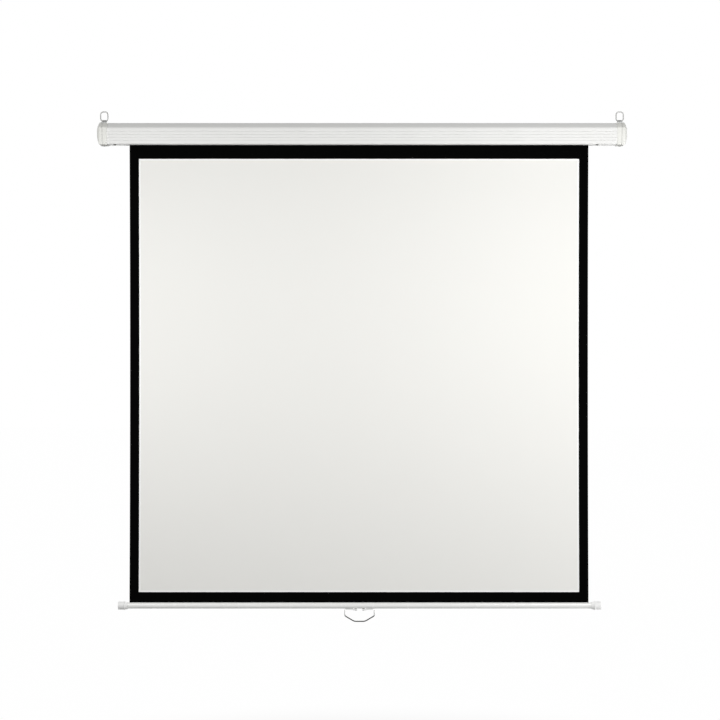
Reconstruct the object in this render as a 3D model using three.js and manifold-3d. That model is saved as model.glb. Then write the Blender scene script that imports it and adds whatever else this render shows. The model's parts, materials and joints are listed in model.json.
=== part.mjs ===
// A pull-down projection screen: a fabric screen that winds onto a spring roller inside a long
// steel case, with a weighted bottom bar, a wire pull handle and two hanging rings.
import * as THREE from "three";
import { mergeVertices } from "three/addons/utils/BufferGeometryUtils.js";
import Module from "manifold-3d";

const wasm = await Module();
wasm.setup();

// Sizes are in millimetres. X runs along the case to the right, Y from the viewer to the wall and
// Z up. The origin is the centre of the case's flat rear face.

// Clearances: a running or cut fit, a flat seat, two bonded layers, and how far a cut runs past
const gap = 0.3;
const seat = 0.1;
const layerGap = 0.05;
const overrun = 5;

// Screen fabric and its black border
const viewWidth = 1524;
const viewHeight = 1498.8;
const sideBorder = 32.2;
const topBorder = 47.2;
const bottomBorder = 36;
const fabricThickness = 0.4;
const borderThickness = 0.15;

// Case, bent from sheet steel
const leftMargin = 106.9;
const rightMargin = 127.7;
const caseHeight = 74;
const caseSheet = 0.9;
const caseBend = 3;
const shoulderHeight = 18;
const shoulderDepth = 23;
const rearStrip = 7.45;
const slotWidth = 24;
const slotLip = 6;
const grooveCount = 4;
const groovePitch = 10.3;
const grooveWidth = 2.6;
const grooveDepth = 1;

// Moulded end caps
const capLength = 34;
const capWall = 1.8;
const capBend = 3.5;
const capRim = 0.8;
const domeDepth = 8.7;
const domeTopInset = 14;
const domeBottomInset = 24.5;
const domeFrontInset = 10;
const domeShares = [[0, 1], [0.25, 0.62], [0.6, 0.24], [1, 0]];
const capGrooveFromEnd = 18;
const capGrooveWidth = 5;
const capGrooveDepth = 0.8;
const capGrooveLeanShare = 0.045;
const footFromEnd = 24;
const footLength = 22;
const footWidth = 15;
const footHeight = 3.2;
const footTaper = 1;
const footRecess = 1.4;

// Hanger plates and their rings
const ringFromEnd = 21.2;
const plateSheet = 1.5;
const plateWidth = 20;
const plateLength = 34;
const plateSetback = 1;
const plateScrewPitch = 22;
const knuckleWidth = 13;
const knuckleRadius = 4.2;
const ringWire = 4;
const ringFootPast = 1.2;
const ringWidth = 25;
const ringFlare = 7;
const ringRise = 32.7;
const ringFootBend = 2.5;
const ringFlareBend = 4;
const ringCrownFlat = 1;
const ringSplit = 0.6;

// Roller, with the fabric that stays wound on it
const rollerAbove = 2;
const rollerToFront = 32.7;
const tubeRadius = 18;
const tubeWall = 1;
const tubeOverhang = 9.3;
const tapeThickness = 0.25;
const tapeWidth = 24;
const windThickness = 1.3;

// Roller plugs, idle pin, bushes and rivets
const plugInsert = 25;
const plugFlange = 4;
const springBossRadius = 10.4;
const springBossLength = 14;
const shaftRadius = 4;
const idlePinInsert = 18;
const idlePinPast = 8;
const idleCollarRadius = 7;
const idleCollarLength = 2.5;
const bushWall = 1.6;
const bushFlangeRadius = 8.4;
const bushFlange = 1.2;
const plugBushLength = 20;
const rivetFromTubeEnd = 5;
const rivetRadius = 1.6;
const rivetHeadRadius = 2.8;
const rivetHead = 1;
const rivetLength = 5;

// Roller brackets
const leftStandoff = 19.8;
const rightStandoff = 24.6;
const screwRowFromFront = 21;
const bracketSheet = 2;
const bracketReach = 12;
const bracketFoot = 24;
const footSetback = 8;
const bracketFlat = 5.6;

// Ratchet wheel and pawls, which share out the radius of the plug's flange
const ratchetTeeth = 4;
const ratchetShare = 0.555;
const rootShare = 0.345;
const toothAngle = 140.5;
const toothLandShare = 0.22;
const hubRadius = 7.4;
const hubLength = 8;
const hubPinRadius = 1.2;
const pawlThickness = 5;
const pawlClearance = 0.6;
const pivotShare = 0.833;
const pawlLengthShare = 0.6;
const pawlEyeShare = 0.16;
const pawlTipShare = 0.133;
const pawlLifted = 205;
const pawlPinRadius = 1.5;
const pawlPinHeadRadius = 2.6;
const pawlPinHead = 1.2;
const pawlPinRoot = 3.4;

// Torsion spring and the fixed spindle through it
const springTurns = 24;
const springPitch = 7;
const springWire = 2;
const anchorLength = 16;
const supportLength = 10;
const spindlePast = 12;
const splitPinRadius = 0.8;
const splitPinLength = 15;
const splitPinFromPlate = 6;
const splitPinEye = 2;

// Screws
const screwShankRadius = 2;
const screwHeadRadius = 5;
const screwHead = 3.2;
const flatHeadRadius = 4;
const flatHead = 1.1;
const screwGrip = 5;
const recessWidth = 1;
const recessDepthShare = 0.5;
const recessReachShare = 0.55;

// Bottom bar
const barRadius = 10.6;
const barWall = 1.2;
const barSlot = 1.8;
const barPastLeft = 39.2;
const barPastRight = 43.4;
const hemRodRadius = 3.5;
const barCapLength = 33;
const barCapWall = 3.2;
const barCapMouthWall = 1.5;
const barCollarHeight = 1.2;
const barCollarLength = 4;
const barCollarFromEnd = 20;
const barCapEndWall = 4;
const barCapEdge = 1.8;

// Pull handle and its two clips
const handleWire = 4;
const handleWidth = 102;
const handleLeg = 22.8;
const handleDrop = 42;
const handleGrip = 37;
const handleBend = 5;
const handleGripBend = 7;
const clipReach = 23;
const clipLength = 14.5;
const clipWidth = 16;
const clipFloor = 1.2;
const clipWing = 5;
const clipScrewFromBore = 3;
const clipScrewRadius = 1.5;
const clipScrewHeadRadius = 2.8;
const clipScrewHead = 1.2;
const stubBore = 7;

// Sides of the round pieces and steps along the wires
const tubeSides = 32;
const shaftSides = 24;
const smallSides = 12;
const wireSides = 8;
const handleSteps = 52;
const ringSteps = 30;
const springSteps = 8;
const springSides = 5;
const eyeSteps = 8;
const tapeSteps = 6;

// Places worked out from the sizes
const halfLength = (leftMargin + rightMargin + viewWidth) / 2 + sideBorder;
const fabricLeft = leftMargin - halfLength;
const fabricRight = halfLength - rightMargin;
const viewLeft = fabricLeft + sideBorder;
const caseTop = caseHeight / 2;
const caseBottom = -caseTop;
const caseEnd = halfLength - domeDepth - gap;
const capTop = caseTop + gap + capWall;
const capBottom = -capTop;
const capScrewSeat = capBottom - footHeight + footRecess;
const slotRear = -rearStrip;
const slotFront = slotRear - slotWidth;
const fabricY = (slotRear + slotFront) / 2;
const fabricFront = fabricY - fabricThickness / 2;
const borderFront = fabricFront - layerGap - borderThickness;
const windInner = tubeRadius + gap + tapeThickness + gap;
const windOuter = windInner + windThickness;
const rollerY = borderFront - gap - windOuter;
const rollerZ = rollerAbove;
const caseFront = rollerY - rollerToFront;
const shoulderRear = caseFront + shoulderDepth;
const screwRowY = caseFront + screwRowFromFront;
const ringY = shoulderRear + plateSetback + plateLength / 2;
const viewTop = caseBottom - topBorder;
const viewBottom = viewTop - viewHeight;
const barZ = viewBottom - bottomBorder - barRadius;
const tubeLeft = fabricLeft - tubeOverhang;
const tubeRight = fabricRight + tubeOverhang;
const leftFlangeEnd = tubeLeft - gap - plugFlange;
const rightFlangeEnd = tubeRight + gap + plugFlange;
const leftPlateX = leftFlangeEnd - leftStandoff - bracketSheet;
const rightPlateX = rightFlangeEnd + rightStandoff;
const ringZ = capTop + plateSheet + knuckleRadius - gap;
const bracketFloor = caseBottom + caseSheet + seat;

// Helpers

function toSolid(geometry) {
  const bare = geometry.index ? geometry.toNonIndexed() : geometry.clone();
  bare.deleteAttribute("normal");
  bare.deleteAttribute("uv");
  const merged = mergeVertices(bare);
  return new wasm.Manifold(
    new wasm.Mesh({
      numProp: 3,
      vertProperties: merged.attributes.position.array,
      triVerts: Uint32Array.from(merged.index.array),
    }),
  );
}

function toGeometry(solid) {
  const { vertProperties, triVerts } = solid.getMesh();
  const geometry = new THREE.BufferGeometry();
  geometry.setAttribute("position", new THREE.BufferAttribute(vertProperties, 3));
  geometry.setIndex(new THREE.BufferAttribute(triVerts, 1));
  geometry.computeVertexNormals();
  return geometry;
}

function block([x0, x1], [y0, y1], [z0, z1]) {
  const geometry = new THREE.BoxGeometry(x1 - x0, y1 - y0, z1 - z0);
  geometry.translate((x0 + x1) / 2, (y0 + y1) / 2, (z0 + z1) / 2);
  return toSolid(geometry);
}

function rodX(radius, [x0, x1], [y, z], sides) {
  const geometry = new THREE.CylinderGeometry(radius, radius, x1 - x0, sides);
  geometry.rotateZ(Math.PI / 2);
  geometry.translate((x0 + x1) / 2, y, z);
  return toSolid(geometry);
}

function rodZ(radius, [z0, z1], [x, y], sides) {
  const geometry = new THREE.CylinderGeometry(radius, radius, z1 - z0, sides);
  geometry.rotateX(Math.PI / 2);
  geometry.translate(x, y, (z0 + z1) / 2);
  return toSolid(geometry);
}

// A solid of a section in Y and Z, drawn out along X
function drawnX(outline, [x0, x1]) {
  const shape = new THREE.Shape(outline.map(([y, z]) => new THREE.Vector2(y, z)));
  const geometry = new THREE.ExtrudeGeometry(shape, { depth: x1 - x0, bevelEnabled: false });
  const toY = new THREE.Vector3(0, 1, 0);
  const toZ = new THREE.Vector3(0, 0, 1);
  const toX = new THREE.Vector3(1, 0, 0);
  geometry.applyMatrix4(new THREE.Matrix4().makeBasis(toY, toZ, toX));
  geometry.translate(x0, 0, 0);
  return toSolid(geometry);
}

// A solid turned about the X axis from places [x, radius] along its profile
function turnedX(profile, sides) {
  const points = profile.map(([x, radius]) => new THREE.Vector2(radius, x));
  const geometry = new THREE.LatheGeometry(points, sides);
  const toY = new THREE.Vector3(0, 1, 0);
  const toX = new THREE.Vector3(1, 0, 0);
  const toBack = new THREE.Vector3(0, 0, -1);
  geometry.applyMatrix4(new THREE.Matrix4().makeBasis(toY, toX, toBack));
  return toSolid(geometry);
}

// A pipe along X with a closed square-edged wall
function pipeX(outer, inner, [x0, x1], sides) {
  return turnedX([[x0, inner], [x0, outer], [x1, outer], [x1, inner], [x0, inner]], sides);
}

// A closed skin over a row of like, convex outlines
function lofted(sections) {
  const count = sections[0].length;
  const last = (sections.length - 1) * count;
  const index = [];
  for (let start = 0; start < last; start += count) {
    for (let i = 0; i < count; i++) {
      const a = start + i;
      const b = start + ((i + 1) % count);
      index.push(a, b, b + count, a, b + count, a + count);
    }
  }
  for (let i = 1; i + 1 < count; i++) {
    index.push(0, i + 1, i, last, last + i, last + i + 1);
  }
  const geometry = new THREE.BufferGeometry();
  geometry.setAttribute("position", new THREE.Float32BufferAttribute(sections.flat(2), 3));
  geometry.setIndex(index);
  return toSolid(geometry);
}

// A wire of round section along straight runs joined by bends; each corner is [x, z, bend]
function bentWire(corners, wire, steps) {
  const places = corners.map(([x, z]) => new THREE.Vector3(x, 0, z));
  const path = new THREE.CurvePath();
  let from = places[0];
  for (let i = 1; i + 1 < places.length; i++) {
    const bend = corners[i][2];
    const into = places[i].clone().add(places[i - 1].clone().sub(places[i]).setLength(bend));
    const out = places[i].clone().add(places[i + 1].clone().sub(places[i]).setLength(bend));
    path.add(new THREE.LineCurve3(from, into));
    path.add(new THREE.QuadraticBezierCurve3(into, places[i], out));
    from = out;
  }
  path.add(new THREE.LineCurve3(from, places[places.length - 1]));
  return sweptRound(path, wire / 2, steps, wireSides);
}

function sweptRound(path, radius, steps, sides) {
  const section = new THREE.Shape();
  for (let i = 0; i < sides; i++) {
    const angle = (2 * Math.PI * i) / sides;
    const [a, b] = [radius * Math.cos(angle), radius * Math.sin(angle)];
    if (i === 0) section.moveTo(a, b);
    else section.lineTo(a, b);
  }
  return toSolid(new THREE.ExtrudeGeometry(section, { steps, extrudePath: path }));
}

// The points of an outline moved to its left by a distance, with mitred corners
function moved(points, distance, closed) {
  const count = points.length;
  return points.map(([y, z], i) => {
    const before = closed || i > 0 ? points[(i + count - 1) % count] : null;
    const after = closed || i + 1 < count ? points[(i + 1) % count] : null;
    const sides = [];
    if (before) sides.push(leftOf(before, [y, z]));
    if (after) sides.push(leftOf([y, z], after));
    const [a, b] = [sides[0], sides[sides.length - 1]];
    const reach = distance / (1 + a[0] * b[0] + a[1] * b[1]);
    return [y + (a[0] + b[0]) * reach, z + (a[1] + b[1]) * reach];
  });
}

function leftOf([y0, z0], [y1, z1]) {
  const length = Math.hypot(y1 - y0, z1 - z0);
  return [(z0 - z1) / length, (y1 - y0) / length];
}

// The points of an outline with each corner eased into three points
function softened(points, reach, closed) {
  const count = points.length;
  return points.flatMap((corner, i) => {
    if (!closed && (i === 0 || i + 1 === count)) return [corner];
    const into = toward(corner, points[(i + count - 1) % count], reach);
    const out = toward(corner, points[(i + 1) % count], reach);
    const middle = [0, 1].map((k) => (into[k] + 2 * corner[k] + out[k]) / 4);
    return [into, middle, out];
  });
}

function toward([y0, z0], [y1, z1], reach) {
  const share = reach / Math.hypot(y1 - y0, z1 - z0);
  return [y0 + (y1 - y0) * share, z0 + (z1 - z0) * share];
}

function piece(name, shape, [color, roughness, metalness]) {
  const geometry = shape.isBufferGeometry ? shape : toGeometry(shape);
  const material = new THREE.MeshStandardMaterial({ color, roughness, metalness });
  const mesh = new THREE.Mesh(geometry, material);
  mesh.name = name;
  return mesh;
}

// Finishes: colour, roughness, metalness
const paintedCase = [0xe4e4e1, 0.45, 0];
const capPlastic = [0xdcdcd8, 0.5, 0];
const brightSteel = [0xb4b5b3, 0.3, 1];
const darkSteel = [0x4b4a47, 0.45, 1];
const zincSheet = [0xa9abaa, 0.45, 1];
const whiteNylon = [0xe2e0d6, 0.55, 0];
const greyNylon = [0x6f7173, 0.6, 0];
const whiteFabric = [0xe9e9e5, 0.9, 0];
const blackCoating = [0x0b0b0c, 0.8, 0];
const yellowTape = [0xd8c987, 0.7, 0];
const barPaint = [0xeeeeeb, 0.35, 0];

// Case and end caps

// The case's section without its slot and grooves, up the back, over the top and down the front
const plainSection = [
  [0, caseBottom],
  [0, caseTop],
  [shoulderRear, caseTop],
  [caseFront, caseTop - shoulderHeight],
  [caseFront, caseBottom],
];

function frontGrooves() {
  const points = [];
  const top = -shoulderHeight / 2 + ((grooveCount - 1) * groovePitch) / 2;
  for (let i = 0; i < grooveCount; i++) {
    const z = top - i * groovePitch;
    points.push([caseFront, z + grooveWidth / 2]);
    points.push([caseFront + grooveDepth, z]);
    points.push([caseFront, z - grooveWidth / 2]);
  }
  return points;
}

function screwHole(x, y, [z0, z1]) {
  return rodZ(screwShankRadius + gap, [z0, z1], [x, y], smallSides);
}

// Every hole through the case's sheet, as [x, y, z range]
function caseHoles() {
  const floor = [caseBottom - overrun, caseBottom + slotLip];
  const roof = [caseTop - slotLip, caseTop + overrun];
  const holes = [];
  for (const side of [-1, 1]) {
    holes.push([side * (halfLength - footFromEnd), screwRowY, floor]);
    for (const end of [-1, 1]) {
      holes.push([side * (halfLength - ringFromEnd), ringY + (end * plateScrewPitch) / 2, roof]);
    }
  }
  holes.push([leftPlateX - bracketReach, screwRowY, floor]);
  holes.push([rightPlateX - bracketReach, screwRowY, floor]);
  return holes;
}

function caseShell() {
  const [backFoot, backTop, roofFront, browFoot, frontFoot] = plainSection;
  const body = softened([[slotRear, caseBottom], backFoot, backTop, roofFront, browFoot], caseBend, false);
  const lower = softened([browFoot, frontFoot, [slotFront, caseBottom]], caseBend, false);
  const skin = [
    [slotRear, caseBottom + slotLip],
    ...body,
    ...frontGrooves(),
    ...lower.slice(1),
    [slotFront, caseBottom + slotLip],
  ];
  const inside = moved(skin, caseSheet, false).reverse();
  let shell = drawnX([...skin, ...inside], [-caseEnd, caseEnd]);
  for (const [x, y, z] of caseHoles()) shell = shell.subtract(screwHole(x, y, z));
  return shell;
}

// The cap's outline at a place along it, flush with the case's back
function capOutline(inset) {
  const outer = moved(plainSection, inset - gap - capWall, true);
  return softened(outer, capBend, true).map(([y, z]) => [Math.min(y, 0), z]);
}

// A point of the cap's outline drawn in by a share of the dome's insets
function domed([y, z], share) {
  const front = caseFront - gap - capWall;
  const low = capBottom + domeBottomInset * share;
  const high = capTop - domeTopInset * share;
  const up = (z - capBottom) / (capTop - capBottom);
  return [y * (1 + (domeFrontInset * share) / front), low + (high - low) * up];
}

function leftCap() {
  const sections = domeShares.map(([along, share]) => {
    const x = domeDepth * along - halfLength;
    return capOutline(0).map((point) => [x, ...domed(point, share)]);
  });
  for (const place of [-1, 0, 1]) {
    const middle = capGrooveFromEnd + (place * capGrooveWidth) / 2 - halfLength;
    const inset = place === 0 ? capGrooveDepth : 0;
    sections.push(capOutline(inset).map(([y, z]) => [middle - z * capGrooveLeanShare, y, z]));
  }
  const mouth = capLength - halfLength;
  sections.push(capOutline(0).map((point) => [mouth - capRim, ...point]));
  sections.push(capOutline(capRim).map((point) => [mouth, ...point]));
  const cavity = moved(plainSection, -gap, true).map(([y, z]) => [y > 0 ? overrun : y, z]);
  const pocket = moved(plainSection.map((point) => domed(point, 1)), capWall, true);
  let cap = lofted(sections)
    .subtract(drawnX(cavity, [domeDepth - halfLength, mouth + overrun]))
    .subtract(drawnX(pocket, [capWall - halfLength, domeDepth - halfLength + gap]))
    .add(capFoot());
  const screwPlace = [footFromEnd - halfLength, screwRowY];
  const below = capBottom - footHeight - overrun;
  cap = cap
    .subtract(screwHole(...screwPlace, [below, caseBottom]))
    .subtract(rodZ(screwHeadRadius + gap, [below, capScrewSeat], screwPlace, shaftSides));
  for (const end of [-1, 1]) {
    const y = ringY + (end * plateScrewPitch) / 2;
    cap = cap.subtract(screwHole(ringFromEnd - halfLength, y, [caseTop, capTop + overrun]));
  }
  return cap;
}

// The tapered foot under a cap, which the cap's screw passes through, sunk into its recess
function capFoot() {
  const [x, y] = [footFromEnd - halfLength, screwRowY];
  const rectangle = (length, width, z) => [
    [x - length / 2, y - width / 2, z],
    [x + length / 2, y - width / 2, z],
    [x + length / 2, y + width / 2, z],
    [x - length / 2, y + width / 2, z],
  ];
  return lofted([
    rectangle(footLength - 2 * footTaper, footWidth - 2 * footTaper, capBottom - footHeight),
    rectangle(footLength, footWidth, capBottom - footHeight + footTaper),
    rectangle(footLength, footWidth, capBottom + capWall / 2),
  ]);
}

// A screw that points up, with its head's seat at the origin and a cross recess in its head
function screw(headRadius, head, shankRadius, length) {
  const profile = [
    [-head, 0],
    [-head, headRadius * (1 - recessDepthShare / 2)],
    [-head / 2, headRadius],
    [0, headRadius],
    [0, shankRadius],
    [length - shankRadius, shankRadius],
    [length, 0],
  ];
  const points = profile.map(([z, radius]) => new THREE.Vector2(radius, z));
  const geometry = new THREE.LatheGeometry(points, smallSides);
  geometry.rotateX(Math.PI / 2);
  const reach = headRadius * recessReachShare;
  const bottom = [-head * (1 + recessDepthShare), -head * recessDepthShare];
  const across = [-recessWidth / 2, recessWidth / 2];
  const recess = block([-reach, reach], across, bottom).add(block(across, [-reach, reach], bottom));
  return toGeometry(toSolid(geometry).subtract(recess));
}

// Hanger plates and rings, built about the ring's own axis

function hangerPlate() {
  const floor = capTop + seat - ringZ;
  const plate = block(
    [-plateWidth / 2, plateWidth / 2],
    [-plateLength / 2, plateLength / 2],
    [floor, floor + plateSheet],
  );
  const half = [-knuckleWidth / 2, knuckleWidth / 2];
  const through = [-plateWidth, plateWidth];
  let solid = plate
    .add(rodX(knuckleRadius, half, [0, 0], shaftSides))
    .subtract(rodX(ringWire / 2 + 2 * gap, through, [0, 0], shaftSides));
  for (const end of [-1, 1]) {
    const y = (end * plateScrewPitch) / 2;
    solid = solid.subtract(screwHole(0, y, [floor - overrun, floor + overrun]));
  }
  return toGeometry(solid);
}

function hangingRing() {
  const foot = knuckleWidth / 2 + ringFootPast;
  const side = ringWidth / 2;
  const crownBend = (ringWidth - ringCrownFlat) / 2;
  return toGeometry(
    bentWire(
      [
        [ringSplit / 2, 0],
        [foot, 0, ringFootBend],
        [side, ringFlare, ringFlareBend],
        [side, ringRise, crownBend],
        [-side, ringRise, crownBend],
        [-side, ringFlare, ringFlareBend],
        [-foot, 0, ringFootBend],
        [-ringSplit / 2, 0],
      ],
      ringWire,
      ringSteps,
    ),
  );
}

// Brackets that carry the roller, built with the plate's outer face at x = 0

function rollerBracket(hole) {
  const clear = caseSheet + grooveDepth + gap;
  const plateOutline = moved(plainSection, clear, true);
  const footZ = [bracketFloor, bracketFloor + bracketSheet];
  const lipTop = caseBottom + slotLip + gap;
  const lipFront = slotFront - caseSheet - gap;
  const lipRear = slotRear + caseSheet + gap;
  return drawnX(plateOutline, [0, bracketSheet])
    .add(block([-bracketFoot, bracketSheet], [caseFront + footSetback, lipFront], footZ))
    .subtract(block([-overrun, overrun], [lipFront, lipRear], [caseBottom, lipTop]))
    .subtract(screwHole(-bracketReach, screwRowY, [caseBottom, 0]))
    .subtract(hole);
}

// A flanged bush on the X axis: its flange starts at x and its barrel runs to the far end
function bush(x, flange, far) {
  const inner = shaftRadius + gap;
  const outer = inner + bushWall;
  const profile = [
    [x, inner],
    [far, inner],
    [far, outer],
    [x + flange, outer],
    [x + flange, bushFlangeRadius],
    [x, bushFlangeRadius],
    [x, inner],
  ];
  return turnedX(far > x ? profile.reverse() : profile, shaftSides);
}

// Roller pieces, built about the roller's axis

const bushOuter = shaftRadius + gap + bushWall;
const tubeInner = tubeRadius - tubeWall;
const plugRadius = tubeInner - 2 * gap;
const pawlPivot = tubeRadius * pivotShare;

function rivetHole(x) {
  const reach = tubeRadius + overrun;
  const top = rodZ(rivetRadius + gap, [tubeRadius - rivetLength - gap, reach], [x, 0], smallSides);
  const foot = rodZ(rivetRadius + gap, [-reach, gap + rivetLength - tubeRadius], [x, 0], smallSides);
  return top.add(foot);
}

const leftRivetX = tubeLeft + rivetFromTubeEnd;
const rightRivetX = tubeRight - rivetFromTubeEnd;

function rollerTube() {
  return pipeX(tubeRadius, tubeInner, [tubeLeft, tubeRight], tubeSides)
    .subtract(rivetHole(leftRivetX))
    .subtract(rivetHole(rightRivetX));
}

function tapeStrip() {
  const inner = tubeRadius + gap;
  const outer = inner + tapeThickness;
  const half = tapeWidth / 2 / inner;
  const arc = (radius) =>
    Array.from({ length: tapeSteps + 1 }, (_, i) => {
      const angle = half * ((2 * i) / tapeSteps - 1);
      return [-radius * Math.cos(angle), radius * Math.sin(angle)];
    });
  return drawnX([...arc(outer), ...arc(inner).reverse()], [fabricLeft, fabricRight]);
}

function leftPlug() {
  const inner = shaftRadius + gap;
  const profile = [
    [leftFlangeEnd, inner],
    [leftFlangeEnd, tubeRadius],
    [tubeLeft - gap, tubeRadius],
    [tubeLeft - gap, plugRadius],
    [tubeLeft + plugInsert, plugRadius],
    [tubeLeft + plugInsert, inner],
    [leftFlangeEnd, inner],
  ];
  return turnedX(profile, tubeSides).subtract(rivetHole(leftRivetX));
}

function idlePin(start) {
  const profile = [
    [start, 0],
    [start, shaftRadius],
    [leftFlangeEnd - gap - idleCollarLength, shaftRadius],
    [leftFlangeEnd - gap - idleCollarLength, idleCollarRadius],
    [leftFlangeEnd - gap, idleCollarRadius],
    [leftFlangeEnd - gap, shaftRadius],
    [tubeLeft + idlePinInsert, shaftRadius],
    [tubeLeft + idlePinInsert, 0],
  ];
  return turnedX(profile, shaftSides);
}

function rightPlug() {
  const bossStart = tubeRight - plugInsert - springBossLength;
  const bore = bushOuter + gap;
  const bushEnd = rightFlangeEnd - plugBushLength;
  const profile = [
    [bossStart, shaftRadius + 2 * gap],
    [bossStart, springBossRadius],
    [tubeRight - plugInsert, springBossRadius],
    [tubeRight - plugInsert, plugRadius],
    [tubeRight + gap, plugRadius],
    [tubeRight + gap, tubeRadius],
    [rightFlangeEnd, tubeRadius],
    [rightFlangeEnd, bore],
    [bushEnd, bore],
    [bushEnd, shaftRadius + 2 * gap],
    [bossStart, shaftRadius + 2 * gap],
  ];
  let plug = turnedX(profile, tubeSides).subtract(rivetHole(rightRivetX));
  const hole = [rightFlangeEnd - pawlPinRoot - gap, rightFlangeEnd + overrun];
  for (const side of [-1, 1]) {
    const pivot = [0, side * pawlPivot];
    plug = plug.subtract(rodX(pawlPinRadius + gap, hole, pivot, smallSides));
  }
  return plug;
}

function plugBush() {
  const inner = shaftRadius + gap;
  const start = rightFlangeEnd - plugBushLength + gap;
  return pipeX(bushOuter, inner, [start, rightFlangeEnd - gap], shaftSides);
}

function rivet() {
  const profile = [
    [-rivetLength, 0],
    [-rivetLength, rivetRadius],
    [seat, rivetRadius],
    [seat, rivetHeadRadius],
    [rivetHead * (1 - recessDepthShare), rivetHeadRadius],
    [rivetHead, rivetRadius],
    [rivetHead, 0],
  ];
  const points = profile.map(([z, radius]) => new THREE.Vector2(radius, z));
  const geometry = new THREE.LatheGeometry(points, smallSides);
  geometry.rotateX(Math.PI / 2);
  return geometry;
}

// Ratchet wheel, pawls and the spindle they work on

const ratchetRadius = tubeRadius * ratchetShare;
const ratchetRoot = tubeRadius * rootShare;
const pawlEye = tubeRadius * pawlEyeShare;
const pawlStart = rightFlangeEnd + pawlClearance;
const pawlEnd = pawlStart + pawlThickness;

function atAngle(radius, degrees) {
  const angle = THREE.MathUtils.degToRad(degrees);
  return [radius * Math.cos(angle), radius * Math.sin(angle)];
}

function ratchetWheel() {
  const pitch = 360 / ratchetTeeth;
  const outline = [];
  for (let i = 0; i < ratchetTeeth; i++) {
    const face = toothAngle + i * pitch;
    outline.push(atAngle(ratchetRoot, face));
    outline.push(atAngle(ratchetRadius, face));
    outline.push(atAngle(ratchetRadius, face + pitch * toothLandShare));
  }
  const hubEnd = pawlEnd + hubLength;
  const through = [pawlStart - overrun, hubEnd + overrun];
  return drawnX(outline, [pawlStart, pawlEnd + 2 * gap])
    .add(rodX(hubRadius, [pawlEnd + gap, hubEnd], [0, 0], shaftSides))
    .subtract(rodX(shaftRadius + gap, through, [0, 0], shaftSides))
    .subtract(hubPinHole());
}

const hubPinX = pawlEnd + hubLength / 2;

function hubPinHole() {
  return rodZ(hubPinRadius + gap, [-hubRadius - overrun, hubRadius + overrun], [hubPinX, 0], smallSides);
}

function hubPin() {
  return rodZ(hubPinRadius, [-hubRadius, hubRadius], [hubPinX, 0], smallSides);
}

// A pawl with its eye at the origin and its nose along Y
function pawl() {
  const eye = [];
  for (let i = 0; i <= eyeSteps; i++) eye.push(atAngle(pawlEye, 90 + (180 * i) / eyeSteps));
  const length = tubeRadius * pawlLengthShare;
  const halfTip = (tubeRadius * pawlTipShare) / 2;
  const outline = [[length, -halfTip], [length, halfTip], ...eye];
  const through = [pawlStart - overrun, pawlEnd + overrun];
  return drawnX(outline, [pawlStart, pawlEnd])
    .subtract(rodX(pawlPinRadius + gap, through, [0, 0], smallSides));
}

function pawlPin() {
  const start = rightFlangeEnd - pawlPinRoot;
  const headStart = pawlEnd + gap;
  const profile = [
    [start, 0],
    [start, pawlPinRadius],
    [headStart, pawlPinRadius],
    [headStart, pawlPinHeadRadius],
    [headStart + pawlPinHead, pawlPinHeadRadius],
    [headStart + pawlPinHead, 0],
  ];
  return turnedX(profile, smallSides);
}

const springRadius = (springBossRadius + gap + springWire / 2) / Math.cos(Math.PI / springSteps);
const springRight = tubeRight - plugInsert - gap - springWire / 2;
const springLeft = springRight - springTurns * springPitch;
const anchorLeft = springLeft - springWire / 2;
const supportLeft = anchorLeft - gap - supportLength;
const spindleLeft = supportLeft - gap;

class Coil extends THREE.Curve {
  getPoint(share, target = new THREE.Vector3()) {
    const angle = 2 * Math.PI * springTurns * share;
    const x = springLeft + (springRight - springLeft) * share;
    return target.set(x, springRadius * Math.cos(angle), springRadius * Math.sin(angle));
  }
}

function torsionSpring() {
  return sweptRound(new Coil(), springWire / 2, springTurns * springSteps, springSides);
}

function spindle(plateX) {
  const end = plateX + bracketSheet + spindlePast;
  const flatStart = plateX - gap;
  const cut = (side) => {
    const near = (side * bracketFlat) / 2;
    const far = side * (shaftRadius + overrun);
    const y = side < 0 ? [far, near] : [near, far];
    return block([flatStart, end + overrun], y, [-shaftRadius - overrun, shaftRadius + overrun]);
  };
  const pinHole = splitPinHole(plateX);
  return rodX(shaftRadius, [spindleLeft, end], [0, 0], shaftSides)
    .subtract(cut(-1))
    .subtract(cut(1))
    .subtract(hubPinHole())
    .subtract(pinHole);
}

function splitPinHole(plateX) {
  const x = plateX + bracketSheet + splitPinFromPlate;
  return rodZ(splitPinRadius + gap, [-splitPinLength, splitPinLength], [x, 0], smallSides);
}

function splitPin(plateX) {
  const x = plateX + bracketSheet + splitPinFromPlate;
  const half = splitPinLength / 2;
  const leg = rodZ(splitPinRadius, [-half, half], [x, 0], smallSides);
  const eyeWidth = [x - splitPinRadius, x + splitPinRadius];
  return leg.add(rodX(splitPinEye, eyeWidth, [0, half], smallSides));
}

function springAnchor() {
  const end = anchorLeft + anchorLength;
  return pipeX(springBossRadius, shaftRadius + gap, [anchorLeft, end], shaftSides);
}

function spindleSupport() {
  const end = supportLeft + supportLength;
  return pipeX(plugRadius, shaftRadius + gap, [supportLeft, end], tubeSides);
}

// Fabric and its border

const hemRodZ = barRadius - barWall - gap - hemRodRadius;
const fabricFoot = barZ + hemRodZ + hemRodRadius + gap;

function screenFabric() {
  const y = [fabricFront, fabricFront + fabricThickness];
  return block([fabricLeft, fabricRight], y, [fabricFoot, rollerZ]);
}

function blackBorder() {
  const y = [borderFront, borderFront + borderThickness];
  const window = [viewLeft, viewLeft + viewWidth];
  const past = [borderFront - overrun, borderFront + overrun];
  return block([fabricLeft, fabricRight], y, [fabricFoot, rollerZ])
    .subtract(block(window, past, [viewBottom, viewTop]));
}

// Bottom bar pieces, built about the bar's axis

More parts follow.
